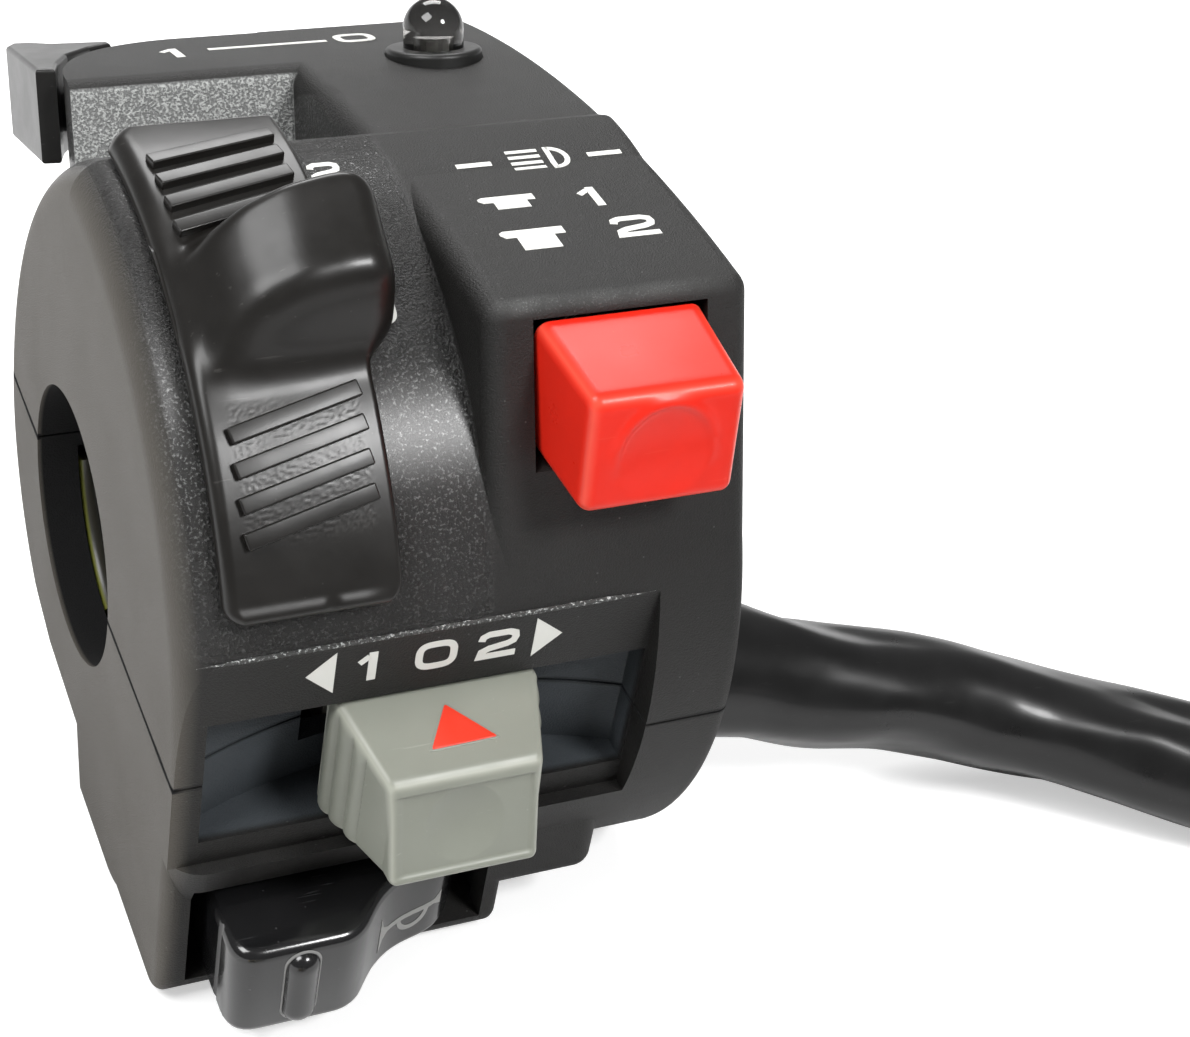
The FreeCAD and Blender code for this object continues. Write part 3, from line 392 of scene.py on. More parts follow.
def metal_finish(name, colour, dull_colour, roughness, streak=(1, 30, 30)):
    """Plain metal with drawn streaks and duller patches."""
    material, tree, shader = new_material(name)
    place = object_place(tree)
    streaks = cloud(tree, stretched(tree, place, streak), 400)
    fill(tree, shader, {
        "Metallic": 1, "Base Color": blended(tree, cloud(tree, place, 300, 4), colour, dull_colour),
        "Roughness": ranged(tree, streaks, to_low=roughness * 0.6, to_high=roughness * 1.5)})
    return material


def plain_mesh(piece, material):
    """Makes the result of a piece's modifiers its own mesh, and takes them off."""
    mesh = evaluated_mesh(piece)
    piece.modifiers.clear()
    piece.data = mesh
    mesh.name = piece.name
    mesh.materials.clear()
    mesh.materials.append(material)
    smooth_mesh(mesh, 40)


def copies_on(tree, spots, block):
    sockets = {"Points": spots, "Instance": block}
    return add_node(tree, "GeometryNodeInstanceOnPoints", sockets).outputs["Instances"]


def finish_copies(tree, copies, finish, out):
    """Turns instances into real geometry with its material."""
    real = add_node(tree, "GeometryNodeRealizeInstances", {"Geometry": copies}).outputs["Geometry"]
    painted = add_node(tree, "GeometryNodeSetMaterial", {"Geometry": real, "Material": finish})
    tree.links.new(painted.outputs["Geometry"], out)


def copies_piece(name, points, faces, tree, identifiers, values, material):
    """A piece made of copies of a small block, set out by a node group."""
    piece = linked(name, raw_mesh(name, [Vector(p) / 1000 for p in points], faces))
    setter = piece.modifiers.new("copies", "NODES")
    setter.node_group = tree
    for label, value in values.items():
        setter[identifiers[label]] = value
    plain_mesh(piece, material)
    return piece


contact_brass = metal_finish("contact_brass", (0.82, 0.6, 0.28), (0.5, 0.34, 0.16), 0.3)
sizes_in = {"Blade": "Geometry", "Columns": "Int", "Width": "Float", "Height": "Float", "Metal": "Material"}
tree, given, made, identifiers = open_group("blades_in_rows", "GeometryNodeTree", sizes_in, {"Blades": "Geometry"})
cavities = add_node(tree, "GeometryNodeMeshGrid", {
    "Vertices X": given["Columns"], "Vertices Y": 2, "Size X": given["Width"], "Size Y": given["Height"]})
stood = add_node(tree, "GeometryNodeTransform", {
    "Geometry": cavities.outputs["Mesh"], "Rotation": (math.pi / 2, 0, math.pi / 2),
    "Translation": (0.0238, 0, 0)})
finish_copies(tree, copies_on(tree, stood.outputs["Geometry"], given["Blade"]), given["Metal"], made["Blades"])
points, faces, edge = rounded_block((2.6, 2.2, 0.8), 0.15, (1, 1, 1), 2)
blades = copies_piece("plug_blades", points, faces, tree, identifiers,
                      {"Columns": 3, "Width": 0.0074, "Height": 0.0042, "Metal": contact_brass}, contact_brass)
blades.data.transform(plug_turn)
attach(blades, "housing")

# Housing halves.
# Two black glass-filled nylon shells that clamp the bar, split along the parting line. The mould leaves a spark
# texture, fine on the switch block, coarse round the barrel, and worn pale on the wall behind the light lever.
spark, given, made, identifiers = open_group(
    "spark_texture", "ShaderNodeTree", {"Grain": "Float"}, {"Height": "Float", "Painted glints": "Float"})
grains = cloud(spark, object_place(spark), given["Grain"], 3, 0.62)
# Painted glints: pale specks of the grain, which the housing and bead use as painted highlight.
fill(spark, made, {"Height": ranged(spark, grains, 0.35, 0.65), "Painted glints": ranged(spark, grains, 0.54, 0.66)})

shell_plastic, tree, plastic = new_material("shell_plastic")
where = object_place(tree)
split = add_node(tree, "ShaderNodeSeparateXYZ", {0: where}).outputs
along_x, along_y, along_z = split["X"], split["Y"], split["Z"]


def product(first, *others):
    for other in others:
        first = maths(tree, "MULTIPLY", first, other)
    return first


def largest(first, *others):
    for other in others:
        first = maths(tree, "MAXIMUM", first, other)
    return first


def mixed(mask, first, second):
    return add_node(tree, "ShaderNodeMix", {"Factor": mask, "A": first, "B": second}).outputs["Result"]


def masked(value, *limits):
    """A mask from 0 at the first limit to 1 at the second, times further pairs of limits if given."""
    return product(*[ranged(tree, value, low, high) for low, high in zip(limits[::2], limits[1::2])])


def distance_from_line(y0, z0):
    squares = [maths(tree, "POWER", maths(tree, "SUBTRACT", value, centre), 2)
               for value, centre in ((along_y, y0), (along_z, z0))]
    return maths(tree, "SQRT", maths(tree, "ADD", *squares))


def add_spark(tree, grain):
    return add_node(tree, "ShaderNodeGroup", node_tree=spark, sockets={"Grain": grain}).outputs


def dotted(direction):
    """Distance along a direction of the part."""
    return add_node(tree, "ShaderNodeVectorMath", {0: where, 1: direction}, operation="DOT_PRODUCT").outputs["Value"]


axis_distance = distance_from_line(0, 0)
left_part = masked(along_x, 0.0232, 0.0224)
barrel = product(masked(axis_distance, 0.0316, 0.0313), left_part, masked(along_z, 0.0112, 0.0124),
                 masked(along_x, 0.0003, 0.0014))
recess = product(masked(dotted((0, 0.9272, -0.3746)), 0.0107, 0.01055, 0.0101, 0.01035), left_part,
                 masked(dotted((0, 0.3746, 0.9272)), 0.0325, 0.0318, 0.0175, 0.0185),
                 masked(along_x, 0.0003, 0.0009))
fine_spark, coarse_spark = [add_spark(tree, grain) for grain in (7000, 4600)]
grain = mixed(largest(barrel, recess), product(fine_spark["Height"], 0.35), coarse_spark["Height"])
patch = cloud(tree, where, 130, 4)
# End face mask; the colour loop below paints this face a lighter warm grey, as painted light falling on it.
end_face = masked(along_x, 0.0016, 0.0002)
upward = product(largest(masked(along_z, 0.012, 0.023), 0.3), largest(masked(along_z, 0.0292, 0.0252), 0.15))
lit_barrel = product(barrel, upward)
dust_specks = product(add_node(tree, "ShaderNodeGroup", node_tree=wear).outputs["Dust"], 0.14)
# A pale band along the block's front top edge above the red button, lighter to the left: partly rub wear, partly a
# painted highlight on that rounded edge.
corner_rub_and_sheen = product(masked(distance_from_line(-0.0197, 0.0321), 0.0009, 0.0002), masked(patch, 0.3, 0.6),
                     masked(along_x, 0.0225, 0.025, 0.0425, 0.031),
                     maths(tree, "ADD", product(fine_spark["Painted glints"], 0.2), 0.12))
# Pale specks: painted glints in the lit band of the barrel (fading towards its bottom and top), worn pale grains in
# the recess, real dust specks, and the block edge's rub wear with its painted highlight.
pale = largest(product(coarse_spark["Painted glints"], lit_barrel, 0.3),
               product(masked(coarse_spark["Height"], 0.2, 0.75), recess), dust_specks, corner_rub_and_sheen)
tray = product(masked(along_z, 0.0068, 0.006, -0.0122, -0.0112), masked(along_y, -0.0287, -0.0281, -0.0145, -0.0155),
               masked(along_x, 0.0015, 0.002, 0.0412, 0.0405))
bore = product(masked(axis_distance, 0.0118, 0.0113), masked(along_x, 0.0001, 0.0004))
ragged = product(masked(patch, 0.25, 0.75), 0.00022)
seam = masked(maths(tree, "SUBTRACT", maths(tree, "ABSOLUTE", along_z), ragged), 0.00022, 0.00012)
shade = largest(bore, product(seam, largest(end_face, 0.45)))
tone = blended(tree, patch, (0.0075, 0.0072, 0.0068), (0.014, 0.0132, 0.0122))
for mask, colour in ((end_face, (0.08, 0.072, 0.06)), (pale, (0.55, 0.56, 0.55)),
                     (product(recess, masked(pale, 0.5, 0)), (0.23, 0.236, 0.233)),
                     (tray, (0.052, 0.06, 0.068)), (shade, (0.0035, 0.0035, 0.0038))):
    tone = blended(tree, mask, tone, colour)
rough = ranged(tree, patch, to_low=0.42, to_high=0.58)
for mask, value in ((barrel, 0.27), (shade, 0.9)):
    rough = mixed(mask, rough, value)
shell_bump = add_node(tree, "ShaderNodeBump", {"Strength": 1, "Distance": 0.00009, "Height": grain})
fill(tree, plastic, {"Specular IOR Level": 0.4, "Base Color": tone, "Roughness": rough, "Coat Roughness": 0.28,
                     "Coat Weight": product(lit_barrel, 0.5), "Normal": shell_bump.outputs["Normal"]})


def dress(material, *names):
    for name in names:
        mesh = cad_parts[name].data
        mesh.materials.clear()
        mesh.materials.append(material)


dress(shell_plastic, "upper_housing", "lower_housing")

# Bead along the turn panel.
# A fine ridge moulded on the upper half where the barrel breaks into the flat turn panel. Pale specks along its
# length are a painted highlight, so that it shows as a pale broken line.
def circle(steps):
    """Cosines and sines of the steps round a circle."""
    turns = [2 * math.pi * k / steps for k in range(steps)]
    return [(math.cos(t), math.sin(t)) for t in turns]


bead_steps, bead_round = 140, 10
points = []
for i in range(bead_steps + 1):
    share = i / bead_steps
    x = 0.9 + 34.6 * share
    radius = 0.19 * min(1, 9 * share, 9 * (1 - share)) + 0.03 * noise.noise(Vector((x * 1.8, 0, 3)))
    points += [Vector((x, -28.87 + radius * c, 11.8 + radius * s)) / 1000 for c, s in circle(bead_round)]
bead_painted_highlight, tree, shader = new_material("bead_painted_highlight")
bead_spark = add_spark(tree, 4300)
bead_bump = add_node(tree, "ShaderNodeBump", {"Distance": 0.00008, "Height": bead_spark["Height"]})
# The bead's pale specks are a painted highlight.
fill(tree, shader, {"Normal": bead_bump.outputs["Normal"],
                    "Base Color": blended(tree, bead_spark["Painted glints"], (0.045, 0.045, 0.043), (0.62, 0.64, 0.63))})
faces = ring_faces(bead_steps + 1, bead_round, capped=True)
new_piece("panel_bead", points, faces, bead_painted_highlight, "housing", smooth=60)

# Printed marks.
# Off-white pad-printed ink on the housing, a few hundredths of a millimetre thick: two turn triangles, the positions
# of each switch as plain numbers, a headlamp sign and the two pushes of the red button.
ink = moulded_finish("print_ink", (0.72, 0.72, 0.68), (0.35, 0.35, 0.33), 0.5, marks=0.45, spread=0.06, bump=0.05)


def surface_of(*meshes):
    shape = bmesh.new()
    for mesh in meshes:
        shape.from_mesh(mesh)
    return BVHTree.FromBMesh(shape)


def flat_mark(loops):
    """Triangles of a flat shape, fine enough to follow a curved surface."""
    longest_edge = 0.7
    shape = bmesh.new()
    for loop in loops:
        shape.faces.new([shape.verts.new((a, b, 0)) for a, b in loop])
    bmesh.ops.triangulate(shape, faces=shape.faces[:])
    for trial in range(6):
        long_edges = [e for e in shape.edges if e.calc_length() > longest_edge]
        if long_edges:
            bmesh.ops.subdivide_edges(shape, edges=long_edges, cuts=1)
            bmesh.ops.triangulate(shape, faces=shape.faces[:])
    bmesh.ops.remove_doubles(shape, verts=shape.verts[:], dist=0.0005)
    shape.verts.ensure_lookup_table()
    return shape


def stroke(line, thick):
    """Four-cornered loops along a line of points, mitred at its corners."""
    line = [Vector(point) for point in line]
    ways = [(after - before).normalized() for before, after in zip(line, line[1:])]
    sides = []
    for here, behind, ahead in zip(line, ways[:1] + ways, ways + ways[-1:]):
        mitre = (ahead + behind).normalized()
        across = Vector((-mitre.y, mitre.x)) * (thick / 2 / max(0.5, mitre.dot(ahead)))
        sides.append((here + across, here - across))
    return [(a, b, d, c) for (a, b), (c, d) in zip(sides, sides[1:])]


def blunted(value):
    """A sine or cosine made blunter, which turns a circle into a rounded square."""
    return math.copysign(abs(value) ** 0.6, value)


def numeral(digit, size, wide=1.35):
    """Loops of a plain bold wide numeral, its middle at the origin."""
    bold = 0.21 * size
    half, tall = 0.36 * size * wide, 0.5 * size - bold / 2
    if digit == "0":
        return stroke([(half * blunted(c), tall * blunted(s)) for c, s in circle(32) + [(1, 0)]], bold)
    if digit == "1":
        return (stroke([(0, -0.5 * size), (0, 0.5 * size)], bold * 1.15)
                + stroke([(-bold * 0.5, tall * 0.93), (-half * 0.75, tall * 0.4)], bold * 0.85))
    bend = [(-1, 0.45), (-0.93, 0.8), (-0.6, 1), (0.6, 1), (0.95, 0.8), (1, 0.45), (0.9, 0.12),
            (0.55, -0.08), (-0.5, -0.3), (-0.92, -0.55), (-1, -1), (1.1, -1)]
    return stroke([(half * a, tall * b) for a, b in bend], bold)


def ring_loops(radius, thick, start, stop, squash, shift, steps=24):
    """Four-cornered loops along part of a ring moved sideways by shift."""
    loops = []
    for i in range(steps):
        a, b = [math.radians(start + (stop - start) * k / steps) for k in (i, i + 1)]
        loops.append([(r * math.cos(t) + shift, r * math.sin(t) * squash)
                      for r, t in ((radius, a), (radius, b), (radius - thick, b), (radius - thick, a))])
    return loops


def bar(a0, a1, b0, b1):
    return [(a0, b0), (a1, b0), (a1, b1), (a0, b1)]


def print_marks(name, marks, surface, material, body, thick=0.035, sunk=0.03):
    """Lays flat shapes on a surface: each is (loops, origin, across, up, reach), in millimetres."""
    start_off = 8
    points, faces = [], []
    for loops, *axes in marks:
        origin, across, up, cast = [Vector(v) for v in axes]
        cast.normalize()
        shape = flat_mark(loops)
        first = len(points)
        for vert in shape.verts:
            spot = origin + across * vert.co.x + up * vert.co.y
            place, normal, index, distance = surface.ray_cast((spot - cast * start_off) / 1000, cast, 0.02)
            if place is None:
                place, normal = spot / 1000, -cast
            if normal.dot(cast) > 0:
                normal = -normal
            points += [place + normal * thick / 1000, place - normal * sunk / 1000]
        for face in shape.faces:
            ids = [first + 2 * v.index for v in face.verts]
            faces += [ids, [i + 1 for i in reversed(ids)]]
        for edge in shape.edges:
            if len(edge.link_faces) == 1:
                a, b = [first + 2 * v.index for v in edge.verts]
                faces.append((a, b, b + 1, a + 1))
        shape.free()
    new_piece(name, points, faces, material, body, smooth=50)


right, rear, down, up_z = (1, 0, 0), (0, 1, 0), (0, 0, -1), (0, 0, 1)
marks = []
for loop in ([(9, 9.2), (11.15, 7.2), (11.15, 11.1)], [(28.4, 9.2), (26.2, 11.1), (26.2, 7.35)]):
    marks.append(([loop], (0, -28.9, 0), right, up_z, rear))
for digit, x in (("1", 13.9), ("0", 18.7), ("2", 23.4)):
    marks.append((numeral(digit, 2.7), (x, -28.9, 9.2), right, up_z, rear))
for digit, angle in (("2", 89.2), ("1", 77), ("0", 64.6)):
    turn = math.radians(angle)
    out = Vector((0, -math.cos(turn), math.sin(turn)))
    rise = (0, math.sin(turn), math.cos(turn))
    marks.append((numeral(digit, 2.3, 1.2), Vector((17.75, 0, 0)) + 31.2 * out, right, rise, -out))
beams = [bar(-2.1, 0.45, 0.95 - 0.72 * k, 1.3 - 0.72 * k) for k in range(4)]
headlamp = ring_loops(1.5, 0.42, -90, 90, 0.95, 1.2) + [bar(1, 1.42, -1.42, 1.42)] + beams
pushed = [[(-2.3, 0.45), (-2, 0.15), (2.05, 0.15), (2.05, 0.95), (-1.9, 0.95), (-2.3, 0.75)],
          bar(-1.25, 1.35, -0.85, 0.15)]
released = [[(-2.5, 0.8), (-2.2, 0.4), (2.4, 0.4), (2.4, 1.3), (-2.2, 1.3), (-2.5, 1.1)], bar(-1.4, 1.5, -1.3, 0.4)]
sign_middle = (34, -1.4, 31)
for loops, origin in (
        (headlamp, sign_middle), ([bar(-6.4, -3.6, -0.25, 0.25)], sign_middle),
        ([bar(4.2, 7, -0.25, 0.25)], sign_middle), (pushed, (29.6, -7.15, 31.7)), (released, (29.6, -12.3, 32)),
        (numeral("1", 2.7, 1.5), (36.2, -7.5, 31.7)), (numeral("2", 2.7, 1.5), (37.4, -12, 32)),
        (numeral("1", 3, 1.3), (15.2, 28.6, 24)), (numeral("0", 3, 1.3), (30.8, 29.4, 24)),
        ([bar(18, 28.2, -0.3, 0.3)], (0, 29, 24))):
    marks.append((loops, origin, right, rear, down))
shell_surface = surface_of(*[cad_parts[half].data for half in ("upper_housing", "lower_housing")])
print_marks("housing_marks", marks, shell_surface, ink, "housing")

# Light switch inside the barrel.
# A nylon rotor clipped to the lever carries a brass wiper over three contacts on a curved board, with a steel ball
# and spring for its clicks. All of it sits under the barrel, behind the lever's slot.
rotor_nylon = moulded_finish("rotor_nylon", (0.34, 0.33, 0.29), (0.2, 0.19, 0.17), 0.4, spread=0.12)
board_phenolic = moulded_finish("board_phenolic", (0.11, 0.055, 0.025), (0.2, 0.12, 0.06), 0.5)
spring_steel = metal_finish("spring_steel", (0.62, 0.62, 0.6), (0.38, 0.37, 0.36), 0.28)
dress(rotor_nylon, "light_rotor")
dress(board_phenolic, "light_base")
dress(contact_brass, "light_contacts", "light_brush")
dress(spring_steel, "light_detent_ball", "light_detent_spring")

# Light lever.
# Semi-gloss black moulding that rides round the barrel: a curved plate with a ribbed pad at each end and a thumb
# paddle swelling out of its middle. It is one moulding, held by the switch's rotor through a slot.
face_r = 33
under_r = 31.66
lever_start, lever_stop = 27.5, 101
rows, columns = 380, 104
stations = [3, 3.9, 4.6, 6, 8, 11, 14, 17.4]


def ease(value, low, high):
    t = np.clip((value - low) / (high - low), 0, 1)
    return t * t * (3 - 2 * t)


def rim(distance, radius):
    """How far a rounded edge falls at a distance from it."""
    left = np.clip(radius - distance, 0, radius)
    return radius - np.sqrt(np.maximum(radius ** 2 - left ** 2, 0))


def quarter_round(share, fullness):
    """A rise from 0 to 1 that steepens as a quarter circle does."""
    return (1 - np.sqrt(1 - (fullness * share) ** 2)) / (1 - math.sqrt(1 - fullness ** 2))


def shell_points(xs, radii, degrees):
    turned = np.radians(degrees)
    return np.stack(np.broadcast_arrays(xs, -radii * np.cos(turned), radii * np.sin(turned)), axis=-1) / 1000


def averaged(grid):
    """The inner rows of a grid, each softened by its neighbours."""
    return 0.25 * grid[:-2] + 0.5 * grid[1:-1] + 0.25 * grid[2:]


angle = np.linspace(lever_start, lever_stop, rows)
along = (angle - lever_start) * math.pi / 180 * face_r
length = along[-1]
left_x = 3 + rim(along, 1.6) + rim(length - along, 2.2)
overhang = 1.9 * ease(angle, 56.5, 61) * (1 - ease(angle, 72.5, 79))
right_x = 15.6 + overhang - rim(along, 1.7) - rim(length - along, 1.2)
share = np.linspace(0, 1, columns)
share = share - 0.35 * np.sin(2 * math.pi * share) / (2 * math.pi)
grid_x = left_x[:, None] + (right_x - left_x)[:, None] * share[None, :]
grid_a = np.repeat(angle[:, None], columns, axis=1)
crest_a, crest_h, brow_a, brow_h, top_a, low_a = [np.interp(grid_x, stations, values) for values in (
    [70, 71, 71.8, 73.2, 74.3, 75, 75.3, 75.4],
    [0, 0.15, 0.8, 2.8, 4.8, 6.3, 6.9, 7],
    [57.5, 58.5, 59.5, 60.8, 61.6, 62.2, 62.4, 62.4],
    [0, 0.1, 0.6, 2.5, 4.4, 5.6, 5.9, 5.8],
    [72.5, 73.6, 74.6, 76.6, 78.4, 79.6, 80.2, 80.5],
    [52, 52.5, 53, 53.3, 53.6, 54, 54.5, 55])]
t_low = np.clip((grid_a - low_a) / (brow_a - low_a), 0, 1)
t_face = np.clip((grid_a - brow_a) / (crest_a - brow_a), 0, 1)
t_back = np.clip((top_a - grid_a) / (top_a - crest_a), 0, 1)
face = brow_h + (crest_h - brow_h) * t_face - 0.45 * np.sin(math.pi * t_face) * ease(grid_x, 5, 9)
swell = np.where(grid_a < brow_a, brow_h * quarter_round(t_low, 0.985),
                 np.where(grid_a < crest_a, face, crest_h * quarter_round(t_back, 0.97)))
for step in range(26):
    swell[1:-1] = averaged(swell)
    swell[:, 1:-1] = averaged(swell.T).T
roll = np.exp(-((grid_a - brow_a) / 3.4) ** 2)
for step in range(160):
    swell[1:-1] += (averaged(swell) - swell[1:-1]) * roll[1:-1]
lip = 0.17 * ease(grid_a, 27.5, 28.4) * (1 - ease(grid_a, 28.6, 30.2)) * (1 - ease(grid_x, 12.5, 15))
lip = lip * (1 - np.exp(-((grid_x - 10.4) / 0.4) ** 2))
between_ribs = ease(grid_x, 4.6, 5.6) * (1 - ease(grid_x, 13.6, 14.6))
between_ribs = between_ribs * ease(grid_a, 36, 38.5) * (1 - ease(grid_a, 52.5, 54.5))
speckle = np.array([noise.noise(Vector((x * 4.6, a * 2.7, 0))) for x, a in zip(grid_x.ravel(), grid_a.ravel())])
speckle = speckle.reshape(rows, columns)
left_rim = 0.9 + 0.9 * ease(grid_a, 58, 66)
right_rim = 0.5 + 1.7 * ease(grid_a, 56.5, 61) * (1 - ease(grid_a, 75, 80))
ahead = along[:, None] + 0 * grid_x
fall = np.maximum(np.maximum(rim(grid_x - left_x[:, None], left_rim), rim(right_x[:, None] - grid_x, right_rim)),
                  np.maximum(rim(ahead, 0.6), rim(length - ahead, 1.1)))
height = swell + lip + 0.02 * speckle * between_ribs
grid_r = np.maximum(face_r + height - fall, under_r + 0.02)

under = shell_points(np.stack([right_x, left_x], axis=1), (under_r + 0.3 * ease(overhang, 0.1, 0.8))[:, None],
                     angle[:, None])
rows_of_points = np.concatenate([shell_points(grid_x, grid_r, grid_a), under], axis=1)
web_steps = 24
web = shell_points(np.array([5.2, 5.2, 12.8, 12.8]), np.array([28.7, 31.8, 31.8, 28.7]),
                   np.linspace(51, 76, web_steps)[:, None])
around = columns + 2
faces = ring_faces(rows, around, capped=True) + ring_faces(web_steps, 4, first=rows * around, capped=True)
rubbed = np.zeros((rows, around))
rubbed[:, :columns] = between_ribs * np.clip(0.25 + 1.6 * speckle, 0, 1)
lever_gloss = moulded_finish(
    "lever_gloss", (0.0105, 0.0095, 0.0085), (0.11, 0.105, 0.1), 0.33, coat=0.06, marks=0.22, edges=0.3, specular=0.4)
new_piece("light_lever_skin", [*rows_of_points.reshape(-1, 3), *web.reshape(-1, 3)], faces, lever_gloss,
          "light_switch", ["light_lever"], 40, [*rubbed.ravel(), *np.zeros(4 * web_steps)])

sizes_in = {"Rib": "Geometry", "Count": "Int", "Pitch": "Float", "Lower pad": "Float", "Upper pad": "Float",
            "Finish": "Material"}
tree, given, made, identifiers = open_group("ribs_round_the_bar", "GeometryNodeTree", sizes_in, {"Ribs": "Geometry"})
both_pads = add_node(tree, "GeometryNodeJoinGeometry")
rib_turn = maths(tree, "MULTIPLY", add_node(tree, "GeometryNodeInputIndex").outputs["Index"], given["Pitch"])
for pad in ("Lower pad", "Upper pad"):
    spots = add_node(tree, "GeometryNodeMeshLine", {"Count": given["Count"], "Offset": (0, 0, 0)})
    spin = add_node(tree, "ShaderNodeCombineXYZ", {"X": maths(tree, "SUBTRACT", rib_turn, given[pad])})
    turned_ribs = add_node(tree, "GeometryNodeRotateInstances", {
        "Instances": copies_on(tree, spots.outputs["Mesh"], given["Rib"]), "Rotation": spin.outputs["Vector"],
        "Local Space": False})
    tree.links.new(turned_ribs.outputs["Instances"], both_pads.inputs["Geometry"])
finish_copies(tree, both_pads.outputs["Geometry"], given["Finish"], made["Ribs"])
points, faces, edge = rounded_block((9.8, 1.3, 1.2), 0.14, (4, 1, 1), 3)
slant = Matrix.Translation((9.5, 0, 0)) @ Matrix.Rotation(math.radians(-13), 4, "Y")
ribs = copies_piece("lever_ribs", [slant @ Vector((p[0], p[1] - face_r + 0.05, p[2])) for p in points], faces, tree,
                    identifiers, {"Count": 4, "Pitch": math.radians(4.1), "Lower pad": math.radians(51.8),
                                  "Upper pad": math.radians(91.5), "Finish": lever_gloss}, lever_gloss)
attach(ribs, "light_switch")

# Red button and its switch.
# Glossy red push button for the beams, moulded with a shallow round dish for the thumb. It slides in the block on
# a plunger, over a coil spring, and presses two contacts at the back of a black body.
def button_piece(name, size, radius, cells, place, dent, material, body, stands_for, steps=5):
    """A rounded block, its grid carried to the button's shape by place and dented by dent."""
    points, faces, edge = rounded_block(size, radius, cells, steps)
    shaped = [Vector(place(*[v / s + 0.5 for v, s in zip(p, size)])) / 1000 for p in points]
    piece = new_piece(name, shaped, faces, material, body, stands_for, 40, edge)
    for vert in piece.data.vertices:
        vert.co += Vector((0, dent(vert.co * 1000), 0)) / 1000


def red_place(u, d, v):
    """u across, d from the front face at 0 to the back at 1, v up."""
    t = max(0, (1 - d - 0.101) / 0.899)
    back, front = -20.3, -30.4 + 1.4 * v
    low, high = 26.5 + 0.7 * t, 39.3 - 0.35 * t
    bottom, top = 21.5 + 0.1 * t, 31 - 0.3 * t
    return (low + (high - low) * u, back + (front - back) * t, bottom + (top - bottom) * v)


def red_dent(p):
    """Depth of the thumb's dish, less the height of the lip round it."""
    if p.y > -28:
        return 0
    away = math.hypot(p.x - 33.1, (p.z - 25.9) * 0.97)
    face = clamped((-28.6 - p.y + (p.z - 30.7) * 0.15) / 0.3)
    scoop = 0.4 * max(0, 1 - (away / 3.7) ** 2)
    lip = 0.2 * math.exp(-((away - 3.75) / 0.42) ** 2) * clamped((p.z - 24.4) / 2.5)
    return (scoop - lip) * face


red_gloss = moulded_finish("red_gloss", (0.77, 0.023, 0.011), (0.95, 0.16, 0.1), 0.3, coat=0.08, marks=0.1,
                           spread=0.08, edges=0.4, bump=0.05, specular=0.18)
button_piece("dimmer_cap", (12.8, 10.4, 9.4), 1.05, (56, 20, 50), red_place, red_dent, red_gloss, "dimmer_pusher",
             ["dimmer_button"])
switch_black = moulded_finish("switch_black", (0.02, 0.02, 0.02), (0.09, 0.09, 0.09), 0.42)
dress(rotor_nylon, "dimmer_plunger")
dress(switch_black, "dimmer_body")
dress(contact_brass, "dimmer_contacts")


def pressed_spring(node, body):
    """A coil spring as in the CAD, copied with its own mesh and riding on a body."""
    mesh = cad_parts[node].data.copy()
    mesh.transform(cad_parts[node].matrix_world)
    mesh.materials.clear()
    mesh.materials.append(spring_steel)
    coil = linked(node + "_coil", mesh)
    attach(coil, body)
    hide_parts(node)
    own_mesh(coil)


pressed_spring("dimmer_spring", "housing")

# Grey button and its switch.
# Satin grey button on a slide that goes left and right for the turn lamps and in to cancel. Its sides are moulded in
# three rounded steps for grip, its face has a thin rim round a faint dish, and a red triangle is inlaid on top.
grey_mid = 19.3
taper_start = -28.9


def grey_half_width(y, v):
    """Half width at a depth y and height v: a taper with three lobes that end below the top."""
    reach = (taper_start - y) / 7.2
    taper = 7.8 - 2.05 * max(0, reach) if reach < 1 else 5.75 - 0.1 * (reach - 1)
    walk = (-27.5 - y) / 1.8
    if not 0 < walk < 3:
        return taper
    depth = 0.72 * (1 - ease(v, 0.86, 0.97))
    return taper + depth * (math.sqrt(max(0, 1 - (2 * (walk % 1) - 1) ** 2)) - 0.75)


def grey_front(v):
    return -38.05 + 2.45 * v


def grey_top(reach):
    return 5.7 - 1.95 * reach


def grey_place(u, d, v):
    back = -26.9
    y = back + (grey_front(v) - back) * (1 - d)
    top = grey_top(clamped((taper_start - y) / 6.5))
    low = -5.7 + 1.15 * clamped((taper_start - y) / 8.9)
    return (grey_mid + (2 * u - 1) * grey_half_width(y, v), y, low + (top - low) * v)


def grey_dent(p):
    """Depth of the panel and of its dish in the front face."""
    face = clamped((grey_front((p.z + 4.4) / 8.1) + 0.35 - p.y) / 0.3)
    across = p.x - grey_mid
    panel = clamped(min((5.2 - across) / 0.14, (across + 5.6) / 0.9, (3.25 - abs(p.z + 0.5)) / 0.14))
    away = math.hypot(across, p.z + 0.4)
    dish = 0.6 * max(0, 1 - (away / 3) ** 2)
    return face * panel * (0.26 + dish)


grey_satin = moulded_finish("grey_satin", (0.247, 0.258, 0.219), (0.5, 0.51, 0.44), 0.36, marks=0.2, spread=0.08,
                            edges=0.5, bump=0.08, specular=0.4)
button_piece("turn_cap", (15.6, 11.1, 9.6), 0.85, (76, 88, 58), grey_place, grey_dent, grey_satin, "turn_pusher",
             ["turn_button"], 4)
points, faces, edge = rounded_block((6, 7, 4.6), 0.3, (1, 1, 1), 2)
new_piece("turn_cap_neck", [Vector((p[0] + grey_mid, p[1] - 24.1, p[2])) / 1000 for p in points], faces, grey_satin,
          "turn_pusher", edge=edge)


def bent_corner(before, here, after, steps):
    """Points of a curve from before to after that bends at here."""
    shares = [k / steps for k in range(steps + 1)]
    return [(1 - t) ** 2 * before + 2 * t * (1 - t) * here + t ** 2 * after for t in shares]


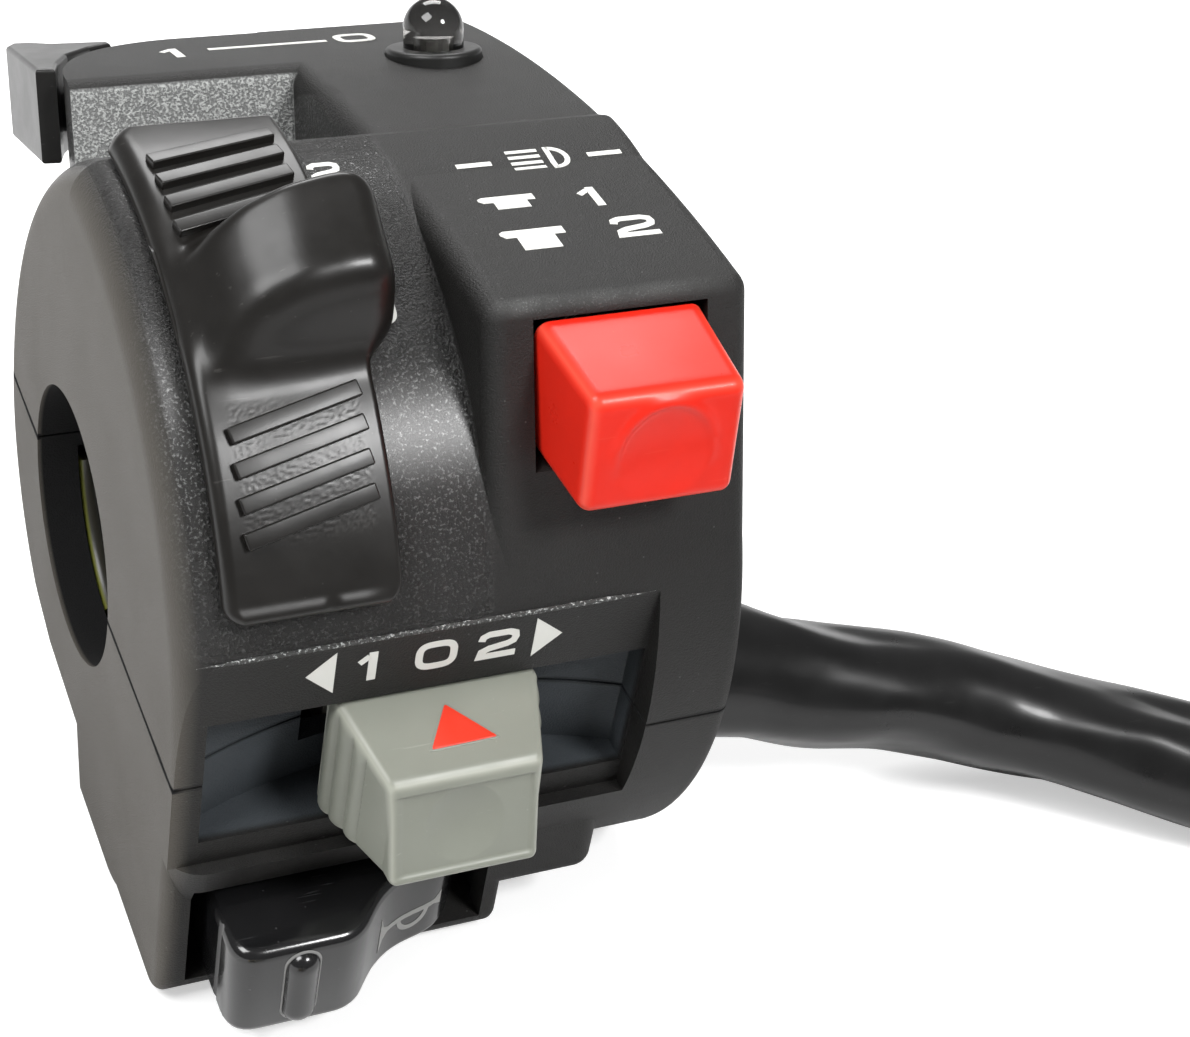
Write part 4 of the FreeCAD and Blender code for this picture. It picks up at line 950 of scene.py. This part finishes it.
def triangle_plate(name, corners, low, high, rounding, material, stands_for=()):
    """A rounded triangle lying on the button's sloping top."""
    outline = []
    for i, corner in enumerate(corners):
        here = Vector(corner)
        a, b = [here + (Vector(other) - here).normalized() * rounding for other in (corners[i - 1], corners[i - 2])]
        outline += bent_corner(a, here, b, 4)
    count = len(outline)
    middle = sum(outline, Vector((0, 0))) / count
    points = []
    for lift, shrink in ((low, 0), (high - 0.03, 0), (high, 0.06)):
        for p in outline:
            q = p + (middle - p).normalized() * shrink
            points.append(Vector((q.x, q.y, grey_top((taper_start - q.y) / 6.5) + lift)) / 1000)
    faces = [tuple(range(count)), tuple(range(2 * count, 3 * count))] + ring_faces(3, count)
    new_piece(name, points, faces, material, "turn_pusher", stands_for, 50)


arrow_red = moulded_finish(
    "arrow_red", (0.78, 0.045, 0.02), (0.5, 0.03, 0.02), 0.42, marks=0.5, spread=0.12, bump=0.3)
triangle_plate("turn_arrow", [(19.3, -30.2), (17.3, -33.4), (22.35, -33.3)], -0.1, 0.1, 0.22, arrow_red,
               ["turn_button_arrow"])
triangle_plate("turn_arrow_rim", [(19.3, -29.98), (16.98, -33.53), (22.66, -33.42)], -0.1, 0.045, 0.3, grey_satin)
dress(rotor_nylon, "turn_carriage")
dress(board_phenolic, "turn_base")
dress(contact_brass, "turn_contacts", "turn_brush")
dress(spring_steel, "turn_detent_ball", "turn_detent_spring")
pressed_spring("turn_push_spring", "turn_slider")

# Horn lever and its switch.
# Glossy black thumb lever on a steel pin in the lower half, with a pill-shaped nub on its nose and a printed horn
# on its slope. A coil spring on the pin brings it back, and a brass strip under it meets the fixed contact.
def rounded_outline(corners):
    """Points of a closed outline whose corners (x, y, radius) are rounded."""
    outline = []
    for i, (x, y, radius) in enumerate(corners):
        here = Vector((x, y))
        before = Vector(corners[i - 1][:2]) - here
        after = Vector(corners[(i + 1) % len(corners)][:2]) - here
        reach = min(radius / math.tan(before.angle(after) / 2), 0.48 * before.length, 0.48 * after.length)
        outline += bent_corner(here + before.normalized() * reach, here, here + after.normalized() * reach, 7)
    return outline


horn_gloss = moulded_finish("horn_gloss", (0.008, 0.008, 0.0085), (0.16, 0.16, 0.16), 0.2, coat=0.5)
horn_low, horn_high, horn_rounding = -21.8, -12.6, 0.95
horn_outline = rounded_outline([
    (3.6, -24.6, 0.6), (3.6, -35, 2.4), (13.4, -35, 3.4), (17, -30.6, 8), (22.6, -29.2, 5),
    (25.6, -24.4, 2.4), (26.2, -20.6, 1.6), (23.6, -19.4, 1.2), (6, -23.3, 0.6)])
shape = bmesh.new()
base = shape.faces.new([shape.verts.new((p.x / 1000, p.y / 1000, horn_low / 1000)) for p in horn_outline])
risen = bmesh.ops.extrude_face_region(shape, geom=[base])
bmesh.ops.translate(shape, vec=(0, 0, (horn_high - horn_low) / 1000),
                    verts=[g for g in risen["geom"] if isinstance(g, bmesh.types.BMVert)])
bmesh.ops.recalc_face_normals(shape, faces=shape.faces[:])
level_edges = [e for e in shape.edges if abs(e.verts[0].co.z - e.verts[1].co.z) < 1e-7]
bmesh.ops.bevel(shape, geom=level_edges, offset=horn_rounding / 1000, segments=5, affect="EDGES", profile=0.5)
thumb_mesh = bpy.data.meshes.new("horn_thumb")
shape.to_mesh(thumb_mesh)
shape.free()
thumb_mesh.materials.append(horn_gloss)
thumb = linked("horn_thumb", thumb_mesh)
for x, y, radius, low, high in ((23.6, -22, 3.4, -14.6, -12), (23.6, -22, 1.05, -24, -10),
                                (3.5, -31.3, 0.4, -24, -10)):
    cutter_shape = bmesh.new()
    bmesh.ops.create_cone(cutter_shape, cap_ends=True, segments=48, radius1=radius / 1000, radius2=radius / 1000,
                          depth=(high - low) / 1000,
                          matrix=Matrix.Translation((x / 1000, y / 1000, (low + high) / 2000)))
    cutter_mesh = bpy.data.meshes.new("cutter")
    cutter_shape.to_mesh(cutter_mesh)
    cutter_shape.free()
    cutter = linked("cutter", cutter_mesh)
    cut = thumb.modifiers.new("cut", "BOOLEAN")
    cut.object = cutter
    cut.operation = "DIFFERENCE"
    plain_mesh(thumb, horn_gloss)
    bpy.data.objects.remove(cutter)
smooth_mesh(thumb.data, 32)
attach(thumb, "horn_switch")
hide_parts("horn_lever")

nub_x, nub_z, nub_reach, nub_r = 8.9, -17, 2.4, 1.3
nub_rings, nub_round = 28, 28
points = []
for i in range(nub_rings + 1):
    angle = math.pi * i / nub_rings
    z = nub_z + (nub_reach + nub_r) * math.copysign(abs(math.cos(angle)) ** 0.55, math.cos(angle))
    past = max(0, abs(z - nub_z) - nub_reach) / nub_r
    radius = nub_r * min(1, math.sqrt(max(0, 1 - past ** 2)))
    points += [Vector((nub_x + radius * c, -34.95 + 0.85 * radius * s, z)) / 1000 for c, s in circle(nub_round)]
new_piece("horn_nub", points, ring_faces(nub_rings + 1, nub_round), horn_gloss, "horn_switch", smooth=60)
# A thin ring round the nub's edge, coloured pale as a painted highlight on the nub's rounded rim.
rim_r, rim_thick, rim_steps, rim_round = 1.36, 0.09, 64, 8
points = []
for c, s in circle(rim_steps):
    x, z = rim_r * c, math.copysign(2.3, s) + rim_r * s
    for roll_c, roll_s in circle(rim_round):
        grow = 1 + rim_thick * roll_c / rim_r
        points.append(Vector((nub_x + x * grow, -35 + rim_thick * roll_s, nub_z + z * grow)) / 1000)
nub_rim_painted_highlight = moulded_finish("nub_rim_painted_highlight", (0.24, 0.24, 0.235), (0.5, 0.5, 0.48), 0.35, marks=0.6)
new_piece("horn_nub_rim", points, ring_faces(rim_steps, rim_round, closed=True), nub_rim_painted_highlight, "horn_switch", smooth=60)
faded_ink = moulded_finish("faded_ink", (0.3, 0.3, 0.29), (0.14, 0.14, 0.135), 0.5, marks=0.6, spread=0.3, bump=0.05)
horn_sign = [[(-3.3, 2), (-2.9, 0.75), (-2.3, 0.28), (-2.3, -0.28), (-2.9, -0.75), (-3.3, -2)],
             bar(-2.4, 2.6, -0.26, 0.26), [(2.5, -0.3), (3.2, -0.75), (3.2, 0.75), (2.5, 0.3)]]
horn_sign += ring_loops(1.55, 0.42, 180, 360, 1.15, 0.3)
print_marks("horn_sign", [(horn_sign, (19.3, -30, -17.9), (0.92, 0.39, 0), up_z, (-0.39, 0.92, 0))],
            surface_of(thumb.data), faded_ink, "horn_switch")
dress(spring_steel, "horn_pin", "horn_spring")
dress(switch_black, "horn_base")
dress(contact_brass, "horn_contact_fixed", "horn_contact_moving")

# Kill lever and its switch.
# Black paddle that swings out of the rounded end of the kill switch box on a steel pin, with a wiper and a click
# ball under its hub. Its board lies in the tilted box of the upper half.
kill_gloss = moulded_finish("kill_gloss", (0.0105, 0.01, 0.0095), (0.1, 0.1, 0.095), 0.32, coat=0.1, marks=0.25)
dress(kill_gloss, "kill_lever")
kill_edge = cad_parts["kill_lever"].modifiers.new("kill_edge", "BEVEL")
kill_edge.width = 0.0004
kill_edge.segments = 3
kill_edge.limit_method = "ANGLE"
kill_edge.angle_limit = math.radians(35)
dress(spring_steel, "kill_pin", "kill_detent_ball", "kill_detent_spring")
dress(board_phenolic, "kill_base")
dress(contact_brass, "kill_contacts", "kill_brush")

# Indicator lamp.
# Smoky clear dome pushed through a black rubber ring on the block's top, with a five-millimetre lamp inside that
# shows through it.
lamp_rubber = moulded_finish("lamp_rubber", (0.012, 0.012, 0.0115), (0.09, 0.09, 0.085), 0.4)
dress(lamp_rubber, "lamp_bezel")
dome_glass, tree, glass = new_material("dome_glass")
smoke = cloud(tree, object_place(tree), 500)
fill(tree, glass, {"Transmission Weight": 1, "IOR": 1.49,
                   "Base Color": blended(tree, smoke, (0.3, 0.29, 0.28), (0.46, 0.45, 0.44)),
                   "Roughness": ranged(tree, smoke, to_low=0.02, to_high=0.09)})
dress(dome_glass, "lamp_lens")
lamp_inside = moulded_finish("lamp_inside", (0.3, 0.3, 0.28), (0.6, 0.6, 0.58), 0.2, coat=0.5, marks=0.5)
dress(lamp_inside, "lamp_bulb")

# Clamp screws.
# Two zinc-plated pan-head screws, driven from below, that pull the halves together on the bar.
screw_zinc = metal_finish("screw_zinc", (0.66, 0.65, 0.6), (0.42, 0.4, 0.35), 0.34, (1, 1, 12))
dress(screw_zinc, "clamp_screws")

# Signal wire and sleeve gland.
# One yellow-green wire runs in the gap of the bore's wall, where it shows through the bore; deeper than about four
# millimetres from the end face its colour is painted dark, as painted shade inside the bore. The gland is a black
# rubber collar that the sleeve is pushed over.
wire_green = moulded_finish("wire_green", (0.19, 0.2, 0.035), (0.3, 0.32, 0.1), 0.34, spread=0.15)
tree = wire_green.node_tree
wire_colour = tree.nodes["Principled BSDF"].inputs["Base Color"]
across_wire = add_node(tree, "ShaderNodeSeparateXYZ", {0: object_place(tree)}).outputs["X"]
# Painted shade: the wire's colour turns dark past x = 3.8 mm, deeper in the bore.
painted_bore_shade = ranged(tree, across_wire, 0.00355, 0.0038)
shaded_wire_colour = blended(tree, painted_bore_shade, wire_colour.links[0].from_socket, (0.035, 0.033, 0.026))
tree.links.new(shaded_wire_colour, wire_colour)
dress(wire_green, "signal_wire")
dress(lamp_rubber, "sleeve_gland")

dress(switch_black, *[name for name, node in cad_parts.items() if not node.data.materials])
